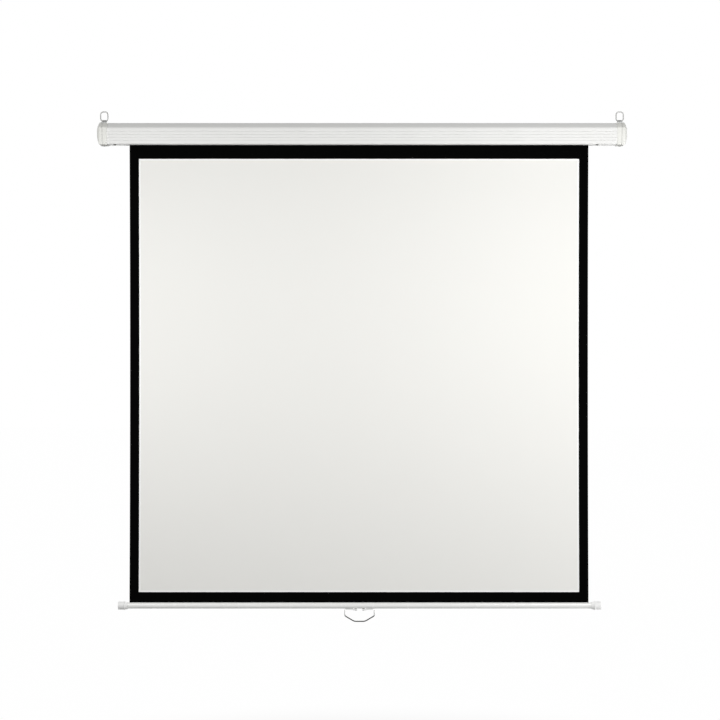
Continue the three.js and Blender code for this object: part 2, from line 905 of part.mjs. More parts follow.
const barLeft = fabricLeft - barPastLeft;
const barRight = fabricRight + barPastRight;
const barTubeLeft = barLeft + barCapEndWall + gap;
const barTubeRight = barRight - barCapEndWall - gap;
const handleX = (barLeft + barRight) / 2;

// A ring open at the top, where the hem passes in
function splitPipe(outer, inner, slot, x) {
  const arc = (radius) => {
    const half = Math.asin(slot / 2 / radius);
    const sweep = 2 * (Math.PI - half);
    return Array.from({ length: shaftSides + 1 }, (_, i) => {
      const angle = Math.PI / 2 + half + (sweep * i) / shaftSides;
      return [radius * Math.cos(angle), radius * Math.sin(angle)];
    });
  };
  return drawnX([...arc(outer), ...arc(inner).reverse()], x);
}

const stubFloor = clipReach - stubBore;
const clipScrewReach = stubFloor - clipScrewFromBore;

function barTube() {
  let tube = splitPipe(barRadius, barRadius - barWall, barSlot, [barTubeLeft, barTubeRight]);
  for (const side of [-1, 1]) {
    const x = handleX + side * clipScrewReach;
    tube = tube.subtract(rodZ(clipScrewRadius + gap, [-barRadius - overrun, 0], [x, 0], smallSides));
  }
  return tube;
}

function hemRod() {
  return rodX(hemRodRadius, [fabricLeft, fabricRight], [0, hemRodZ], smallSides);
}

// The left cap; the right one is the same piece turned end for end
function barCap() {
  const bore = barRadius + gap;
  const skin = bore + barCapWall;
  const collarEnd = barLeft + barCollarFromEnd + barCollarLength;
  const profile = [
    [barLeft, 0],
    [barLeft, skin - barCapEdge],
    [barLeft + barCapEdge / 2, skin - barCapEdge / 4],
    [barLeft + barCapEdge, skin],
    [barLeft + barCollarFromEnd, skin],
    [barLeft + barCollarFromEnd + gap, skin + barCollarHeight],
    [collarEnd - gap, skin + barCollarHeight],
    [collarEnd, skin],
    [barLeft + barCapLength, bore + barCapMouthWall],
    [barLeft + barCapLength, bore],
    [barLeft + barCapEndWall, bore],
    [barLeft + barCapEndWall, 0],
  ];
  return toGeometry(turnedX(profile, shaftSides));
}

// Handle and clips, built about the handle's axis under the bar

const handleAxisZ = -barRadius - gap - handleWire / 2;

// A clip holds one end of the handle's wire: side is -1 at the left and 1 at the right
function handleClip(side) {
  const span = (near, far) => (side < 0 ? [-far, -near] : [near, far]);
  const low = -handleWire / 2 - gap - clipFloor;
  const outline = softened(
    [
      [-clipWidth / 2, clipWing],
      [-clipWidth / 2, low],
      [clipWidth / 2, low],
      [clipWidth / 2, clipWing],
    ],
    clipFloor,
    true,
  );
  const wire = handleWire / 2 + gap;
  const bore = span(stubFloor, clipReach + overrun);
  const past = span(clipReach - clipLength - overrun, clipReach + overrun);
  const screwPlace = [side * clipScrewReach, 0];
  return drawnX(outline, span(clipReach - clipLength, clipReach))
    .subtract(rodX(barRadius + gap, past, [0, -handleAxisZ], tubeSides))
    .subtract(rodX(wire, bore, [0, 0], shaftSides))
    .subtract(block(bore, [-wire, wire], [0, clipWing + overrun]))
    .subtract(rodZ(clipScrewRadius + gap, [low - overrun, clipWing], screwPlace, smallSides));
}

function pullHandle() {
  const stub = stubFloor + gap;
  const side = handleWidth / 2;
  const grip = handleGrip / 2;
  return bentWire(
    [
      [stub, 0],
      [side, 0, handleBend],
      [side, -handleLeg, handleBend],
      [grip, -handleDrop, handleGripBend],
      [-grip, -handleDrop, handleGripBend],
      [-side, -handleLeg, handleBend],
      [-side, 0, handleBend],
      [-stub, 0],
    ],
    handleWire,
    handleSteps,
  );
}

// Putting the screen together

const screen = new THREE.Group();

function addCase() {
  screen.add(piece("case_shell", caseShell(), paintedCase));
  const cap = toGeometry(leftCap());
  const [left, right] = [piece("left_end_cap", cap, capPlastic), piece("right_end_cap", cap, capPlastic)];
  right.scale.x = -1;
  screen.add(left, right);
  const length = caseBottom + caseSheet + screwGrip - capScrewSeat;
  const capScrew = screw(screwHeadRadius, screwHead, screwShankRadius, length);
  for (const [name, side] of [["left", -1], ["right", 1]]) {
    const fixing = piece(name + "_cap_screw", capScrew, darkSteel);
    fixing.position.set(side * (halfLength - footFromEnd), screwRowY, capScrewSeat - seat);
    screen.add(fixing);
  }
}

function addHangers() {
  const plate = hangerPlate();
  const ring = hangingRing();
  const length = plateSheet + capWall + gap + caseSheet + screwGrip;
  const flatScrew = screw(flatHeadRadius, flatHead, screwShankRadius, length);
  for (const [name, side] of [["left", -1], ["right", 1]]) {
    const hanger = new THREE.Group();
    hanger.position.set(side * (halfLength - ringFromEnd), ringY, ringZ);
    hanger.add(piece(name + "_hanger_plate", plate, zincSheet));
    hanger.add(piece(name + "_hanging_ring", ring, brightSteel));
    for (const [end, place] of [["front", -1], ["rear", 1]]) {
      const fixing = piece(`${name}_hanger_screw_${end}`, flatScrew, darkSteel);
      fixing.rotation.x = Math.PI;
      fixing.position.set(0, (place * plateScrewPitch) / 2, capTop + plateSheet + 2 * seat - ringZ);
      hanger.add(fixing);
    }
    screen.add(hanger);
  }
}

function addBrackets() {
  const round = rodX(bushOuter + gap, [-overrun, overrun], [rollerY, rollerZ], shaftSides);
  const slotHalf = [bracketFlat / 2 + gap, shaftRadius + gap];
  const flat = block(
    [-overrun, overrun],
    [rollerY - slotHalf[0], rollerY + slotHalf[0]],
    [rollerZ - slotHalf[1], rollerZ + slotHalf[1]],
  );
  const length = caseSheet + seat + bracketSheet + screwGrip;
  const bracketScrew = screw(screwHeadRadius, screwHead, screwShankRadius, length);
  for (const [name, x, hole] of [["left", leftPlateX, round], ["right", rightPlateX, flat]]) {
    const bracket = piece(name + "_roller_bracket", rollerBracket(hole), zincSheet);
    bracket.position.x = x;
    const fixing = piece(name + "_bracket_screw", bracketScrew, darkSteel);
    fixing.position.set(x - bracketReach, screwRowY, caseBottom - seat);
    screen.add(bracket, fixing);
  }
}

function addRoller() {
  const roller = new THREE.Group();
  roller.position.set(0, rollerY, rollerZ);
  const wound = pipeX(windOuter, windInner, [fabricLeft, fabricRight], tubeSides);
  const bushFace = leftPlateX + bracketSheet + seat + bushFlange;
  roller.add(
    piece("roller_tube", rollerTube(), zincSheet),
    piece("rolled_fabric", wound, blackCoating),
    piece("fabric_tape", tapeStrip(), yellowTape),
    piece("left_roller_plug", leftPlug(), whiteNylon),
    piece("idle_pin", idlePin(leftPlateX - idlePinPast), brightSteel),
    piece("idle_pin_bush", bush(bushFace, -bushFlange, leftPlateX - bushFlange), greyNylon),
    piece("right_roller_plug", rightPlug(), whiteNylon),
    piece("right_plug_bush", plugBush(), greyNylon),
  );
  const rivetShape = rivet();
  for (const [name, x] of [["left", leftRivetX], ["right", rightRivetX]]) {
    for (const [end, turn] of [["top", 0], ["foot", Math.PI]]) {
      const fixing = piece(`${name}_plug_rivet_${end}`, rivetShape, brightSteel);
      fixing.rotation.x = turn;
      fixing.position.set(x, 0, tubeRadius * Math.cos(turn));
      roller.add(fixing);
    }
  }
  screen.add(roller);
}

function addRatchet() {
  const works = new THREE.Group();
  works.position.set(0, rollerY, rollerZ);
  works.add(
    piece("spindle", spindle(rightPlateX), brightSteel),
    piece("spindle_split_pin", splitPin(rightPlateX), brightSteel),
    piece("ratchet_wheel", ratchetWheel(), darkSteel),
    piece("ratchet_pin", hubPin(), brightSteel),
    piece("torsion_spring", torsionSpring(), darkSteel),
    piece("spring_anchor", springAnchor(), zincSheet),
    piece("spindle_support", spindleSupport(), greyNylon),
  );
  const [pawlShape, pinShape] = [toGeometry(pawl()), toGeometry(pawlPin())];
  for (const [name, side] of [["upper", 1], ["lower", -1]]) {
    const lever = piece(name + "_pawl", pawlShape, darkSteel);
    lever.rotation.x = THREE.MathUtils.degToRad(pawlLifted + 90 * (side - 1));
    lever.position.z = side * pawlPivot;
    const pin = piece(name + "_pawl_pin", pinShape, brightSteel);
    pin.position.z = side * pawlPivot;
    works.add(lever, pin);
  }
  screen.add(works);
}

function addFabric() {
  screen.add(piece("screen_fabric", screenFabric(), whiteFabric));
  screen.add(piece("black_border", blackBorder(), blackCoating));
}

function addBar() {
  const bar = new THREE.Group();
  bar.position.set(0, fabricY, barZ);
  const cap = barCap();
  const left = piece("left_bar_cap", cap, capPlastic);
  const right = piece("right_bar_cap", cap, capPlastic);
  right.rotation.z = Math.PI;
  right.position.x = barLeft + barRight;
  bar.add(piece("bar_tube", barTube(), barPaint), piece("hem_rod", hemRod(), whiteNylon), left, right);
  const handle = piece("pull_handle", pullHandle(), brightSteel);
  handle.position.set(handleX, 0, handleAxisZ);
  bar.add(handle);
  const length = handleWire + 2 * gap + clipFloor + barWall + screwGrip;
  const clipScrew = screw(clipScrewHeadRadius, clipScrewHead, clipScrewRadius, length);
  for (const [name, side] of [["left", -1], ["right", 1]]) {
    const clip = piece(name + "_handle_clip", handleClip(side), capPlastic);
    clip.position.set(handleX, 0, handleAxisZ);
    const fixing = piece(name + "_clip_screw", clipScrew, darkSteel);
    const seatZ = handleAxisZ - handleWire / 2 - gap - clipFloor - seat;
    fixing.position.set(handleX + side * clipScrewReach, 0, seatZ);
    bar.add(clip, fixing);
  }
  screen.add(bar);
}

addCase();
addHangers();
addBrackets();
addRoller();
addRatchet();
addFabric();
addBar();

export default screen;
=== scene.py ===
"""A pull-down projection screen, let down to its full drop.

A bent steel case hangs from two rings. A spring roller inside it carries a white screen with a black
border, and a tubular bar with a wire handle weighs the screen's foot down.
"""
import json
import math

import bpy
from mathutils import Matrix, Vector


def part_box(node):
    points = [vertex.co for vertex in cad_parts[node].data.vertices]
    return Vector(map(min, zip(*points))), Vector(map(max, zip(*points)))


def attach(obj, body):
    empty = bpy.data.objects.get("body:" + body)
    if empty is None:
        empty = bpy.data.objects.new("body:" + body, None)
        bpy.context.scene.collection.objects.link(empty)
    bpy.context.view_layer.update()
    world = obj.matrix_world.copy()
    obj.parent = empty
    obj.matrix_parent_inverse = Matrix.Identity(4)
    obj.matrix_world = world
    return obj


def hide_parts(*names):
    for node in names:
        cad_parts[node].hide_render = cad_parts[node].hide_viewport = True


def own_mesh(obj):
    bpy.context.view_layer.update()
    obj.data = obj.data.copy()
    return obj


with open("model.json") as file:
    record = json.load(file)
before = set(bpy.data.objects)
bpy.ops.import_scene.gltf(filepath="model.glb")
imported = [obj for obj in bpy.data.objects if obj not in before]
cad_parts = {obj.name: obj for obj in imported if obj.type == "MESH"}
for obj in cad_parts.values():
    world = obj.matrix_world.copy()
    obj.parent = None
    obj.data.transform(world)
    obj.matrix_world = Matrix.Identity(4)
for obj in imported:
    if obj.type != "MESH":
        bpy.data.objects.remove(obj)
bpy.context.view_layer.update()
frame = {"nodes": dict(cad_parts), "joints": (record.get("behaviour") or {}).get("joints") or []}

# Studio. A level camera in front of the screen, a pale floor below it that fades into a white
# surround, and large soft lamps: two in front of the screen, one low at its right, one behind it.


class Link:
    """An output of a finish's nodes. Arithmetic on it adds Math nodes."""

    def __init__(self, finish, socket):
        self.finish = finish
        self.socket = socket

    def math(self, operation, first, second):
        return self.finish.node("ShaderNodeMath", {"operation": operation}, {0: first, 1: second})

    def __add__(self, other):
        return self.math("ADD", self, other)

    def __radd__(self, other):
        return self.math("ADD", other, self)

    def __sub__(self, other):
        return self.math("SUBTRACT", self, other)

    def __rsub__(self, other):
        return self.math("SUBTRACT", other, self)

    def __mul__(self, other):
        return self.math("MULTIPLY", self, other)

    def __rmul__(self, other):
        return self.math("MULTIPLY", other, self)

    def __truediv__(self, other):
        return self.math("DIVIDE", self, other)

    def __rtruediv__(self, other):
        return self.math("DIVIDE", other, self)

    def __mod__(self, other):
        return self.math("FLOORED_MODULO", self, other)

    def __abs__(self):
        return self.math("ABSOLUTE", self, 0)


class Finish:
    """A tree of shader nodes, with the one method that adds a node to it."""

    def __init__(self, tree):
        self.tree = tree

    def node(self, kind, settings=None, sockets=None, out=0):
        made = self.tree.nodes.new(kind)
        for name, value in (settings or {}).items():
            if name == "stops":
                self.set_stops(made.color_ramp, value)
            else:
                setattr(made, name, value)
        for name, value in (sockets or {}).items():
            self.feed(made.inputs[name], value)
        return Link(self, made.outputs[out])

    def set_stops(self, ramp, stops):
        while len(ramp.elements) < len(stops):
            ramp.elements.new(1)
        for element, (place, level) in zip(ramp.elements, stops):
            element.position = place
            element.color = (level, level, level, 1)

    def feed(self, socket, value):
        if isinstance(value, Link):
            self.tree.links.new(value.socket, socket)
        else:
            socket.default_value = value


def seen_directly(finish):
    """1 where a ray comes from the camera, or through a reflection or a clear surface."""
    path = finish.node("ShaderNodeLightPath", out="Is Camera Ray")
    found = path
    for ray in ("Is Glossy Ray", "Is Transmission Ray"):
        other = Link(finish, path.socket.node.outputs[ray])
        found = found.math("MAXIMUM", found, other)
    return found


camera_place = (-0.0069, -7.5195, -0.780)
camera_lens = 108.35
camera_sensor = 36
camera = bpy.data.objects.new("camera", bpy.data.cameras.new("camera"))
bpy.context.scene.collection.objects.link(camera)
camera.location = camera_place
camera.rotation_euler = (math.radians(90), 0, 0)
camera.data.lens = camera_lens
camera.data.sensor_width = camera_sensor
bpy.context.scene.camera = camera
bpy.context.scene.view_settings.view_transform = "Standard"

white = (1, 1, 1, 1)
surround_light = 0.365
world = bpy.data.worlds.new("surround")
world.use_nodes = True
bpy.context.scene.world = world
surround = Finish(world.node_tree)
seen = surround.node("ShaderNodeBackground", sockets={"Color": white, "Strength": 1.0})
cast = surround.node("ShaderNodeBackground", sockets={"Color": white, "Strength": surround_light})
mixed = surround.node(
    "ShaderNodeMixShader", sockets={0: seen_directly(surround), 1: cast, 2: seen}
)
surround.feed(world.node_tree.nodes["World Output"].inputs["Surface"], mixed)

floor_height = -2.25
floor_reach = 40
floor_colour = (0.5, 0.5, 0.5, 1)
floor_fade = {"From Min": 0.2, "From Max": 1.8, "To Min": 0.66, "To Max": 0.995}
floor_mesh = bpy.data.meshes.new("floor")
floor_square = ((-1, -1), (1, -1), (1, 1), (-1, 1))
corners = [(x * floor_reach, y * floor_reach, floor_height) for x, y in floor_square]
floor_mesh.from_pydata(corners, [], [(0, 1, 2, 3)])
floor = bpy.data.objects.new("floor", floor_mesh)
bpy.context.scene.collection.objects.link(floor)
floor_paint = bpy.data.materials.new("floor_paint")
floor_paint.use_nodes = True
floor_paint.node_tree.nodes.remove(floor_paint.node_tree.nodes["Principled BSDF"])
ground = Finish(floor_paint.node_tree)
floor_place = ground.node("ShaderNodeTexCoord", out="Object")
away = ground.node(
    "ShaderNodeVectorMath",
    {"operation": "DISTANCE"},
    {0: floor_place, 1: (0, 0, floor_height)},
    out="Value",
)
fade = ground.node(
    "ShaderNodeMapRange", {"interpolation_type": "SMOOTHSTEP"}, {"Value": away, **floor_fade}
)
lit = ground.node("ShaderNodeBsdfDiffuse", sockets={"Color": floor_colour})
glow = ground.node("ShaderNodeEmission", sockets={"Color": white, "Strength": 1.0})
ground.feed(
    floor_paint.node_tree.nodes["Material Output"].inputs["Surface"],
    ground.node("ShaderNodeMixShader", sockets={0: seen_directly(ground) * fade, 1: lit, 2: glow}),
)
floor_mesh.materials.append(floor_paint)

# Each lamp's place, the point it faces, its width in metres and its power in watts
lamps = {
    "right_lamp": ((1.1, -1.6, -0.4), (0.4, 0, -0.8), 1.1, 21.6),
    "left_lamp": ((-1.3, -1.4, -0.5), (-0.3, 0, -0.8), 0.9, 13.7),
    "side_lamp": ((1.9, -0.05, -1.9), (0.8, -0.05, 0), 0.6, 20),
    "rear_lamp": ((0, 3.2, 0.4), (0, 0, -0.8), 1.6, 24),
}
for name, (place, target, size, power) in lamps.items():
    lamp = bpy.data.objects.new(name, bpy.data.lights.new(name, "AREA"))
    bpy.context.scene.collection.objects.link(lamp)
    lamp.location = place
    lamp.rotation_euler = (Vector(target) - Vector(place)).to_track_quat("-Z", "Y").to_euler()
    lamp.data.size = size
    lamp.data.energy = power
    lamp.visible_camera = False

# Case. One sheet of steel bent up the back, over the roof, down a sloping shoulder and a front with
# four pressed grooves, and in again underneath, where both edges turn up beside the screen's slot.
# It is powder coated off-white inside and out.

bend_steps = 6
crease_angle = 35
per_centimetre = 100


def eased(outline, steps=bend_steps, closed=False):
    """An outline of (y, z, reach) with each corner turned into a curve that starts that far from it."""
    count = len(outline)
    points = []
    for i, (y, z, reach) in enumerate(outline):
        corner = Vector((y, z))
        if reach == 0 or (not closed and i in (0, count - 1)):
            points.append(corner)
            continue
        before = Vector(outline[i - 1][:2])
        after = Vector(outline[(i + 1) % count][:2])
        into = corner + (before - corner).normalized() * reach
        out = corner + (after - corner).normalized() * reach
        for k in range(steps + 1):
            t = k / steps
            points.append(into.lerp(corner, t).lerp(corner.lerp(out, t), t))
    return points


def moved(points, distance, closed=False):
    """The points of an outline moved to its left by a distance, with mitred corners."""
    count = len(points)
    found = []
    for i, point in enumerate(points):
        sides = []
        if closed or i > 0:
            along = (point - points[i - 1]).normalized()
            sides.append(Vector((-along.y, along.x)))
        if closed or i + 1 < count:
            along = (points[(i + 1) % count] - point).normalized()
            sides.append(Vector((-along.y, along.x)))
        a, b = sides[0], sides[-1]
        found.append(point + (a + b) * (distance / (1 + a.dot(b))))
    return found


def lofted(rows, ends="face"):
    """Faces between rows of points that each close on themselves. ends is face or strip."""
    across = len(rows[0])
    points = [tuple(p) for row in rows for p in row]
    faces = []
    for r in range(len(rows) - 1):
        for i in range(across):
            k = (i + 1) % across
            faces.append((r * across + i, r * across + k, (r + 1) * across + k, (r + 1) * across + i))
    last = (len(rows) - 1) * across
    if ends == "face":
        faces.append(tuple(range(across))[::-1])
        faces.append(tuple(last + i for i in range(across)))
    else:
        for i in range(across // 2 - 1):
            k = across - 1 - i
            faces.append((i + 1, i, k, k - 1))
            faces.append((last + i, last + i + 1, last + k - 1, last + k))
    return points, faces


def drawn(outline, x_range, ends="face"):
    """An outline in Y and Z drawn out along X."""
    return lofted([[(x, p.x, p.y) for p in outline] for x in x_range], ends)


def new_piece(name, shape, finish=None, body=None):
    """A mesh object of a shape, smooth except where its faces meet at a crease."""
    mesh = bpy.data.meshes.new(name)
    mesh.from_pydata(shape[0], [], shape[1])
    mesh.update()
    made = bpy.data.objects.new(name, mesh)
    bpy.context.scene.collection.objects.link(made)
    mesh.polygons.foreach_set("use_smooth", [True] * len(mesh.polygons))
    mesh.set_sharp_from_angle(angle=math.radians(crease_angle))
    if finish:
        mesh.materials.append(finish)
    if body:
        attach(made, body)
    return made


# The colour sockets of a Mix node, by number, because its sockets for numbers have the same names
mix_first = 6
mix_second = 7
mix_result = 2


class Surface(Finish):
    """A finish for a piece: one principled shader, with place as the piece's own coordinates."""

    def __init__(self, name, **uniform):
        self.material = bpy.data.materials.new(name)
        self.material.use_nodes = True
        super().__init__(self.material.node_tree)
        self.shader = self.tree.nodes["Principled BSDF"]
        self.place = self.node("ShaderNodeTexCoord", out="Object")
        for socket, value in uniform.items():
            self.feed(self.shader.inputs[socket.replace("_", " ")], value)

    def noise(self, size, detail=2.0, place=None, rough=0.5):
        """Soft random patches about this many metres across, from 0 to 1."""
        sockets = {"Vector": place or self.place, "Scale": 1 / size, "Detail": detail, "Roughness": rough}
        return self.node("ShaderNodeTexNoise", sockets=sockets)

    def stretched(self, x, y, z):
        """The piece's coordinates with each axis multiplied, to draw a pattern out along one."""
        settings = {"operation": "MULTIPLY"}
        return self.node("ShaderNodeVectorMath", settings, {0: self.place, 1: (x, y, z)})

    def axis(self, name):
        """One of the piece's coordinates, in metres."""
        return self.node("ShaderNodeSeparateXYZ", sockets={"Vector": self.place}, out=name)

    def ramp(self, value, *stops):
        """A value's levels moved to new ones, as (level, new level) stops."""
        return self.node("ShaderNodeValToRGB", {"stops": stops}, {"Fac": value})

    def fading(self, distance, start, end):
        """1 where a distance is under start, falling to 0 at end. All are under a centimetre."""
        stops = (start * per_centimetre, 1), (end * per_centimetre, 0)
        return self.ramp(distance * per_centimetre, *stops)

    def blend(self, share, first, second):
        """The first colour where share is 0 and the second where it is 1."""
        first, second = [c if isinstance(c, Link) else (*c, 1) for c in (first, second)]
        sockets = {"Factor": share, mix_first: first, mix_second: second}
        return self.node("ShaderNodeMix", {"data_type": "RGBA"}, sockets, out=mix_result)

    def set(self, socket, value):
        self.feed(self.shader.inputs[socket], value)

    def bump(self, height, depth):
        """Relief of this depth in metres where height goes from 0 to 1."""
        sockets = {"Height": height, "Distance": depth, "Strength": 1.0}
        return self.node("ShaderNodeBump", sockets=sockets)


mottle_size = 0.12
mottle_share = 0.5
mark_size = 0.02
mark_raggedness = 0.65
mark_levels = ((0.62, 0), (0.75, 1))
mark_share = 0.3
mark_rough = 0.1
sheen_size = 0.03
sheen_range = 0.12
peel_size = 0.0016
peel_depth = 0.00004
# A darker grey painted into the bottoms of grooves as shade, how patchy it is, and its share on the case
painted_groove_shade = (0.42, 0.42, 0.40)
shade_patches = 0.3
case_groove_shade = 0.05


def powder_coat(name, colour, shade, rough, shade_mask=None, gloss=0.5):
    """Baked powder paint: orange peel, faint mottling, a few dull handling marks."""
    paint = Surface(name, Specular_IOR_Level=gloss)
    mottle = paint.noise(mottle_size, detail=3)
    marks = paint.ramp(paint.noise(mark_size, detail=5, rough=mark_raggedness), *mark_levels)
    tint = paint.blend(mottle * mottle_share + marks * mark_share, colour, shade)
    # Painted shade: the colour darkened in patches at the bottom of the grooves
    if shade_mask:
        tint = paint.blend(shade_mask(paint) * (mottle * shade_patches + case_groove_shade), tint, painted_groove_shade)
    paint.set("Base Color", tint)
    paint.set("Roughness", paint.noise(sheen_size) * sheen_range + marks * mark_rough + rough)
    paint.set("Normal", paint.bump(paint.noise(peel_size), peel_depth))
    return paint.material


case_low, case_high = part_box("case_shell")
case_sheet = 0.0009
case_bend = 0.003
lip_bend = 0.0008
shoulder_height = 0.018
shoulder_depth = 0.023
rear_strip = 0.00745
slot_width = 0.024
slot_lip = 0.006
groove_count = 4
groove_pitch = 0.0103
groove_width = 0.0026
groove_depth = 0.001
groove_edge_bend = 0.0004
groove_floor_bend = 0.0007
front_middle = (case_low.z + case_high.z - shoulder_height) / 2
groove_top = front_middle + (groove_count - 1) * groove_pitch / 2
# Where the painted shade starts to thin and where it ends, in groove widths and in groove depths
shade_widths = (0.15, 0.5)
shade_depths = (1.2, 2)


def shaded_front_grooves(paint):
    """1 at the bottom of the case's grooves, where the paint is darkened as painted shade."""
    along = (paint.axis("Z") - groove_top) / groove_pitch + 0.5
    off = abs(along % 1 - 0.5) * groove_pitch
    behind = paint.axis("Y") - case_low.y
    in_row = paint.fading(off, *[groove_width * widths for widths in shade_widths])
    return in_row * paint.fading(behind, *[groove_depth * depths for depths in shade_depths])


case_paint = powder_coat(
    "case_paint",
    colour=(0.835, 0.835, 0.82),
    shade=(0.80, 0.80, 0.78),
    rough=0.42,
    shade_mask=shaded_front_grooves,
)

slot_rear = -rear_strip
slot_front = slot_rear - slot_width
rear_bottom = (case_high.y, case_low.z)
rear_top = (case_high.y, case_high.z)
roof_front = (case_low.y + shoulder_depth, case_high.z)
shoulder_foot = (case_low.y, case_high.z - shoulder_height)
front_bottom = (case_low.y, case_low.z)
skin = [
    (slot_rear, case_low.z + slot_lip, 0),
    (slot_rear, case_low.z, lip_bend),
    (*rear_bottom, case_bend),
    (*rear_top, case_bend),
    (*roof_front, case_bend),
    (*shoulder_foot, case_bend),
]
for i in range(groove_count):
    z = groove_top - i * groove_pitch
    skin.append((case_low.y, z + groove_width / 2, groove_edge_bend))
    skin.append((case_low.y + groove_depth, z, groove_floor_bend))
    skin.append((case_low.y, z - groove_width / 2, groove_edge_bend))
skin += [
    (*front_bottom, case_bend),
    (slot_front, case_low.z, lip_bend),
    (slot_front, case_low.z + slot_lip, 0),
]
outside = eased(skin)
case_section = outside + moved(outside, case_sheet)[::-1]
case = new_piece(
    "case_sheet",
    drawn(case_section, (case_low.x, case_high.x), "strip"),
    case_paint,
    "housing",
)
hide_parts("case_shell")

# End caps. Moulded plastic, domed at the end, with a shallow groove round them and a foot
# underneath. Each slides over the case's end and is held by one screw up through its foot.


def carved(piece, *cutters, crease=crease_angle):
    """A piece less the shapes of its cutters, which are deleted, with its modifiers applied."""
    for cutter in cutters:
        cut = piece.modifiers.new("cut", "BOOLEAN")
        cut.operation = "DIFFERENCE"
        cut.solver = "EXACT"
        cut.object = cutter
    bpy.context.view_layer.update()
    graph = bpy.context.evaluated_depsgraph_get()
    result = bpy.data.meshes.new_from_object(piece.evaluated_get(graph))
    result.set_sharp_from_angle(angle=math.radians(crease))
    piece.modifiers.clear()
    piece.data = result
    for cutter in cutters:
        bpy.data.objects.remove(cutter)
    return piece


flow_cloud_size = 0.05
pit_softness = 0.6
plastic_gloss = 0.45
plastic_sheen_size = 0.004
# How strongly painted shade darkens the bottom of a cap's groove
cap_groove_shade = 0.3


def moulded(name, colour, shade, grain, depth, rough, shade_mask=None):
    """Moulded plastic with an even fine grain from its mould and faint flow clouds."""
    plastic = Surface(name, Specular_IOR_Level=plastic_gloss)
    clouds = plastic.noise(flow_cloud_size, detail=3)
    pits = plastic.node(
        "ShaderNodeTexVoronoi",
        {"feature": "SMOOTH_F1"},
        {"Vector": plastic.place, "Scale": 1 / grain, "Smoothness": pit_softness},
    )
    tint = plastic.blend(clouds, colour, shade)
    # Painted shade: the colour darkened in patches at the bottom of the groove
    if shade_mask:
        tint = plastic.blend(shade_mask(plastic) * (clouds * shade_patches + cap_groove_shade), tint, painted_groove_shade)
    plastic.set("Base Color", tint)
    plastic.set("Roughness", plastic.noise(plastic_sheen_size) * sheen_range + rough)
    plastic.set("Normal", plastic.bump(pits, depth))
    return plastic.material


cap_end = -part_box("left_end_cap")[0].x
cap_wall = 0.0018
cap_gap = 0.0003
cap_bend = 0.0035
cap_rim = 0.0008
rim_share = 0.3
cap_length = 0.034
dome_depth = 0.0087
dome_top_inset = 0.014
dome_bottom_inset = 0.0245
dome_front_inset = 0.010
dome_rows = 12
dome_power = 1.6
cap_groove_from_end = 0.018
cap_groove_half = 0.0025
cap_groove_depth = 0.0008
cap_groove_lean = 0.045
# Across the groove: how far from its middle, and how deep it is there, as shares
cap_groove_shares = ((-1, 0), (-0.5, 0.6), (0, 1), (0.5, 0.6), (1, 0))
cap_shade_share = 0.3
foot_from_end = 0.024
foot_size = (0.022, 0.015, 0.0032)
foot_taper = 0.001
foot_edge = 0.0002
foot_recess = 0.0014
foot_corner = 0.002
foot_seat = 0.00002
foot_crease = 40
screw_bore = 0.0023
# A screw's head radius, the height of its head and its shank's radius
case_screw = (0.005, 0.0032, 0.002)
cut_past = 0.005
screw_behind_front = 0.021
screw_row = case_low.y + screw_behind_front


def shaded_cap_groove(plastic):
    """1 at the bottom of the groove round an end cap, where the plastic is darkened as painted shade."""
    from_end = cap_end - abs(plastic.axis("X"))
    off = abs(from_end - cap_groove_from_end + plastic.axis("Z") * cap_groove_lean)
    return plastic.fading(off, cap_groove_half * cap_shade_share, cap_groove_half)


cap_plastic = moulded(
    "cap_plastic",
    colour=(0.815, 0.815, 0.775),
    shade=(0.785, 0.785, 0.745),
    grain=0.0007,
    depth=0.00003,
    rough=0.42,
    shade_mask=shaded_cap_groove,
)
# A mid grey that paints shade onto the caps' feet and the clips' tabs
foot_plastic = moulded(
    "foot_plastic",
    colour=(0.36, 0.36, 0.345),
    shade=(0.32, 0.32, 0.305),
    grain=0.0009,
    depth=0.00004,
    rough=0.5,
)

case_corners = (rear_bottom, rear_top, roof_front, shoulder_foot, front_bottom)
case_outline = [Vector(corner) for corner in case_corners]
cap_bottom = case_low.z - cap_gap - cap_wall
cap_top = case_high.z + cap_gap + cap_wall


def cap_outline(inset):
    """The outline of a cap in Y and Z, drawn in by an inset and flat at the rear."""
    grown = moved(case_outline, inset - cap_gap - cap_wall, closed=True)
    rounded = eased([(p.x, p.y, cap_bend) for p in grown], closed=True)
    return [Vector((min(p.x, 0), p.y)) for p in rounded]


def domed(point, share):
    """A point of a cap's outline, drawn in by a share of its dome."""
    front = case_low.y - cap_gap - cap_wall
    low = cap_bottom + dome_bottom_inset * share
    high = cap_top - dome_top_inset * share
    up = (point.y - cap_bottom) / (cap_top - cap_bottom)
    return Vector((point.x * (1 + dome_front_inset * share / front), low + (high - low) * up))


